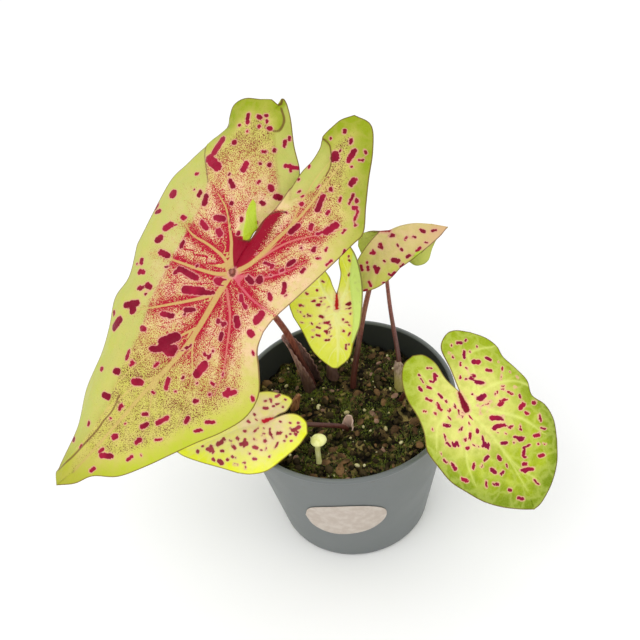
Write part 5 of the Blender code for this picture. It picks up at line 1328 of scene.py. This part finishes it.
# The new shoot: a short pointed roll, still in its dry orange-brown scale, that pushes up beside the
# leaf bases.
bud_path = spline([(-29, 6, 71, 2.4), (-28, 6, 80, 2.6), (-25, 6, 88, 1.0)], 40)[:, :3]
bud_radii = [2.5 * math.sqrt(max(0.0, 1 - (max(0, i - 14) / 25.6) ** 2.2)) for i in range(40)]
bud = tube("shoot_tip", bud_path, bud_radii, 24)
scale = Finish("bud_scale", 0.6)
spot = scale.where()
streak = scale.grain(scale.stretch(spot, (1.0, 1.0, 0.15)), 1.2, 4.0)
scale.colour(scale.mix(scale.fade(streak, 0.3, 0.7), (0.19, 0.062, 0.025), (0.50, 0.23, 0.10)))
scale.relief(streak, 0.3, 0.7)
finished(bud, "bud", scale, replaces=["shoot_bud"])


# The mushroom: a small pale yellow cap on a slender stalk, soft and dry, with gills under the cap. It
# grows from the damp mix.
cap_rows = [(0.01, 96.0), (1.0, 95.95), (2.0, 95.75), (2.9, 95.35), (3.6, 94.8), (4.05, 94.2), (4.25, 93.6),
            (4.2, 93.1), (3.9, 92.8), (3.4, 92.75), (2.6, 92.9), (1.9, 92.9), (1.6, 92.2), (1.5, 90.0), (1.4, 86.0),
            (1.4, 82.0), (1.5, 78.0), (1.8, 75.0), (1.85, 72.5)]
cap = lathe("mushroom_cap", cap_rows, 72)
for v in cap.data.vertices:
    x, y, z = v.co / MM
    a = math.atan2(y, x)
    bend = 1.3 * max(0.0, min(1.0, (z - 84) / 10)) ** 2
    wave = 1 + 0.02 * math.sin(3 * a + 1) if z > 91.4 else 1.0
    v.co = Vector((x * wave + bend, y * wave, z)) * MM
cap.location = (-18 * MM, -34 * MM, 0)
flesh = Finish("mushroom_flesh", 0.65)
spot = flesh.where()
flesh_tone = flesh.grain(spot, 0.35, 3.0)
flesh.colour(flesh.mix(flesh.fade(flesh_tone, 0.3, 0.7), (0.80, 0.80, 0.26), (0.95, 0.95, 0.46)))
flesh.relief(flesh_tone, 0.06, 0.5)
finished(cap, "mushroom", flesh, replaces=["mushroom"])


# The studio: a plain white floor and backdrop, one broad soft light from above and in front, and the
# camera where the photograph was taken from.
floor = mesh_piece("studio_floor", [(-3000, -3000, -0.3), (3000, -3000, -0.3), (3000, 3000, -0.3), (-3000, 3000, -0.3)],
                   [(0, 1, 2, 3)])
white = Finish("studio_white", 0.9)
white.colour((0.95, 0.95, 0.95))
floor.data.materials.append(white.mat)

world = bpy.data.worlds.new("studio")
bpy.context.scene.world = world
world.use_nodes = True
world.node_tree.nodes["Background"].inputs[0].default_value = (1.0, 1.0, 1.0, 1.0)
world.node_tree.nodes["Background"].inputs[1].default_value = 1.0
for spot_name, at, size, power in (("key", (-0.5, -0.7, 1.2), 0.9, 5.0), ("fill", (0.9, -0.3, 0.8), 0.9, 1.2)):
    lamp = bpy.data.lights.new(spot_name, "AREA")
    lamp.energy = power
    lamp.size = size
    light = bpy.data.objects.new(spot_name, lamp)
    light.location = at
    light.rotation_euler = (Vector((0, 0, 0.12)) - Vector(at)).to_track_quat("-Z", "Y").to_euler()
    plant.objects.link(light)

bpy.context.scene.view_settings.view_transform = "Standard"
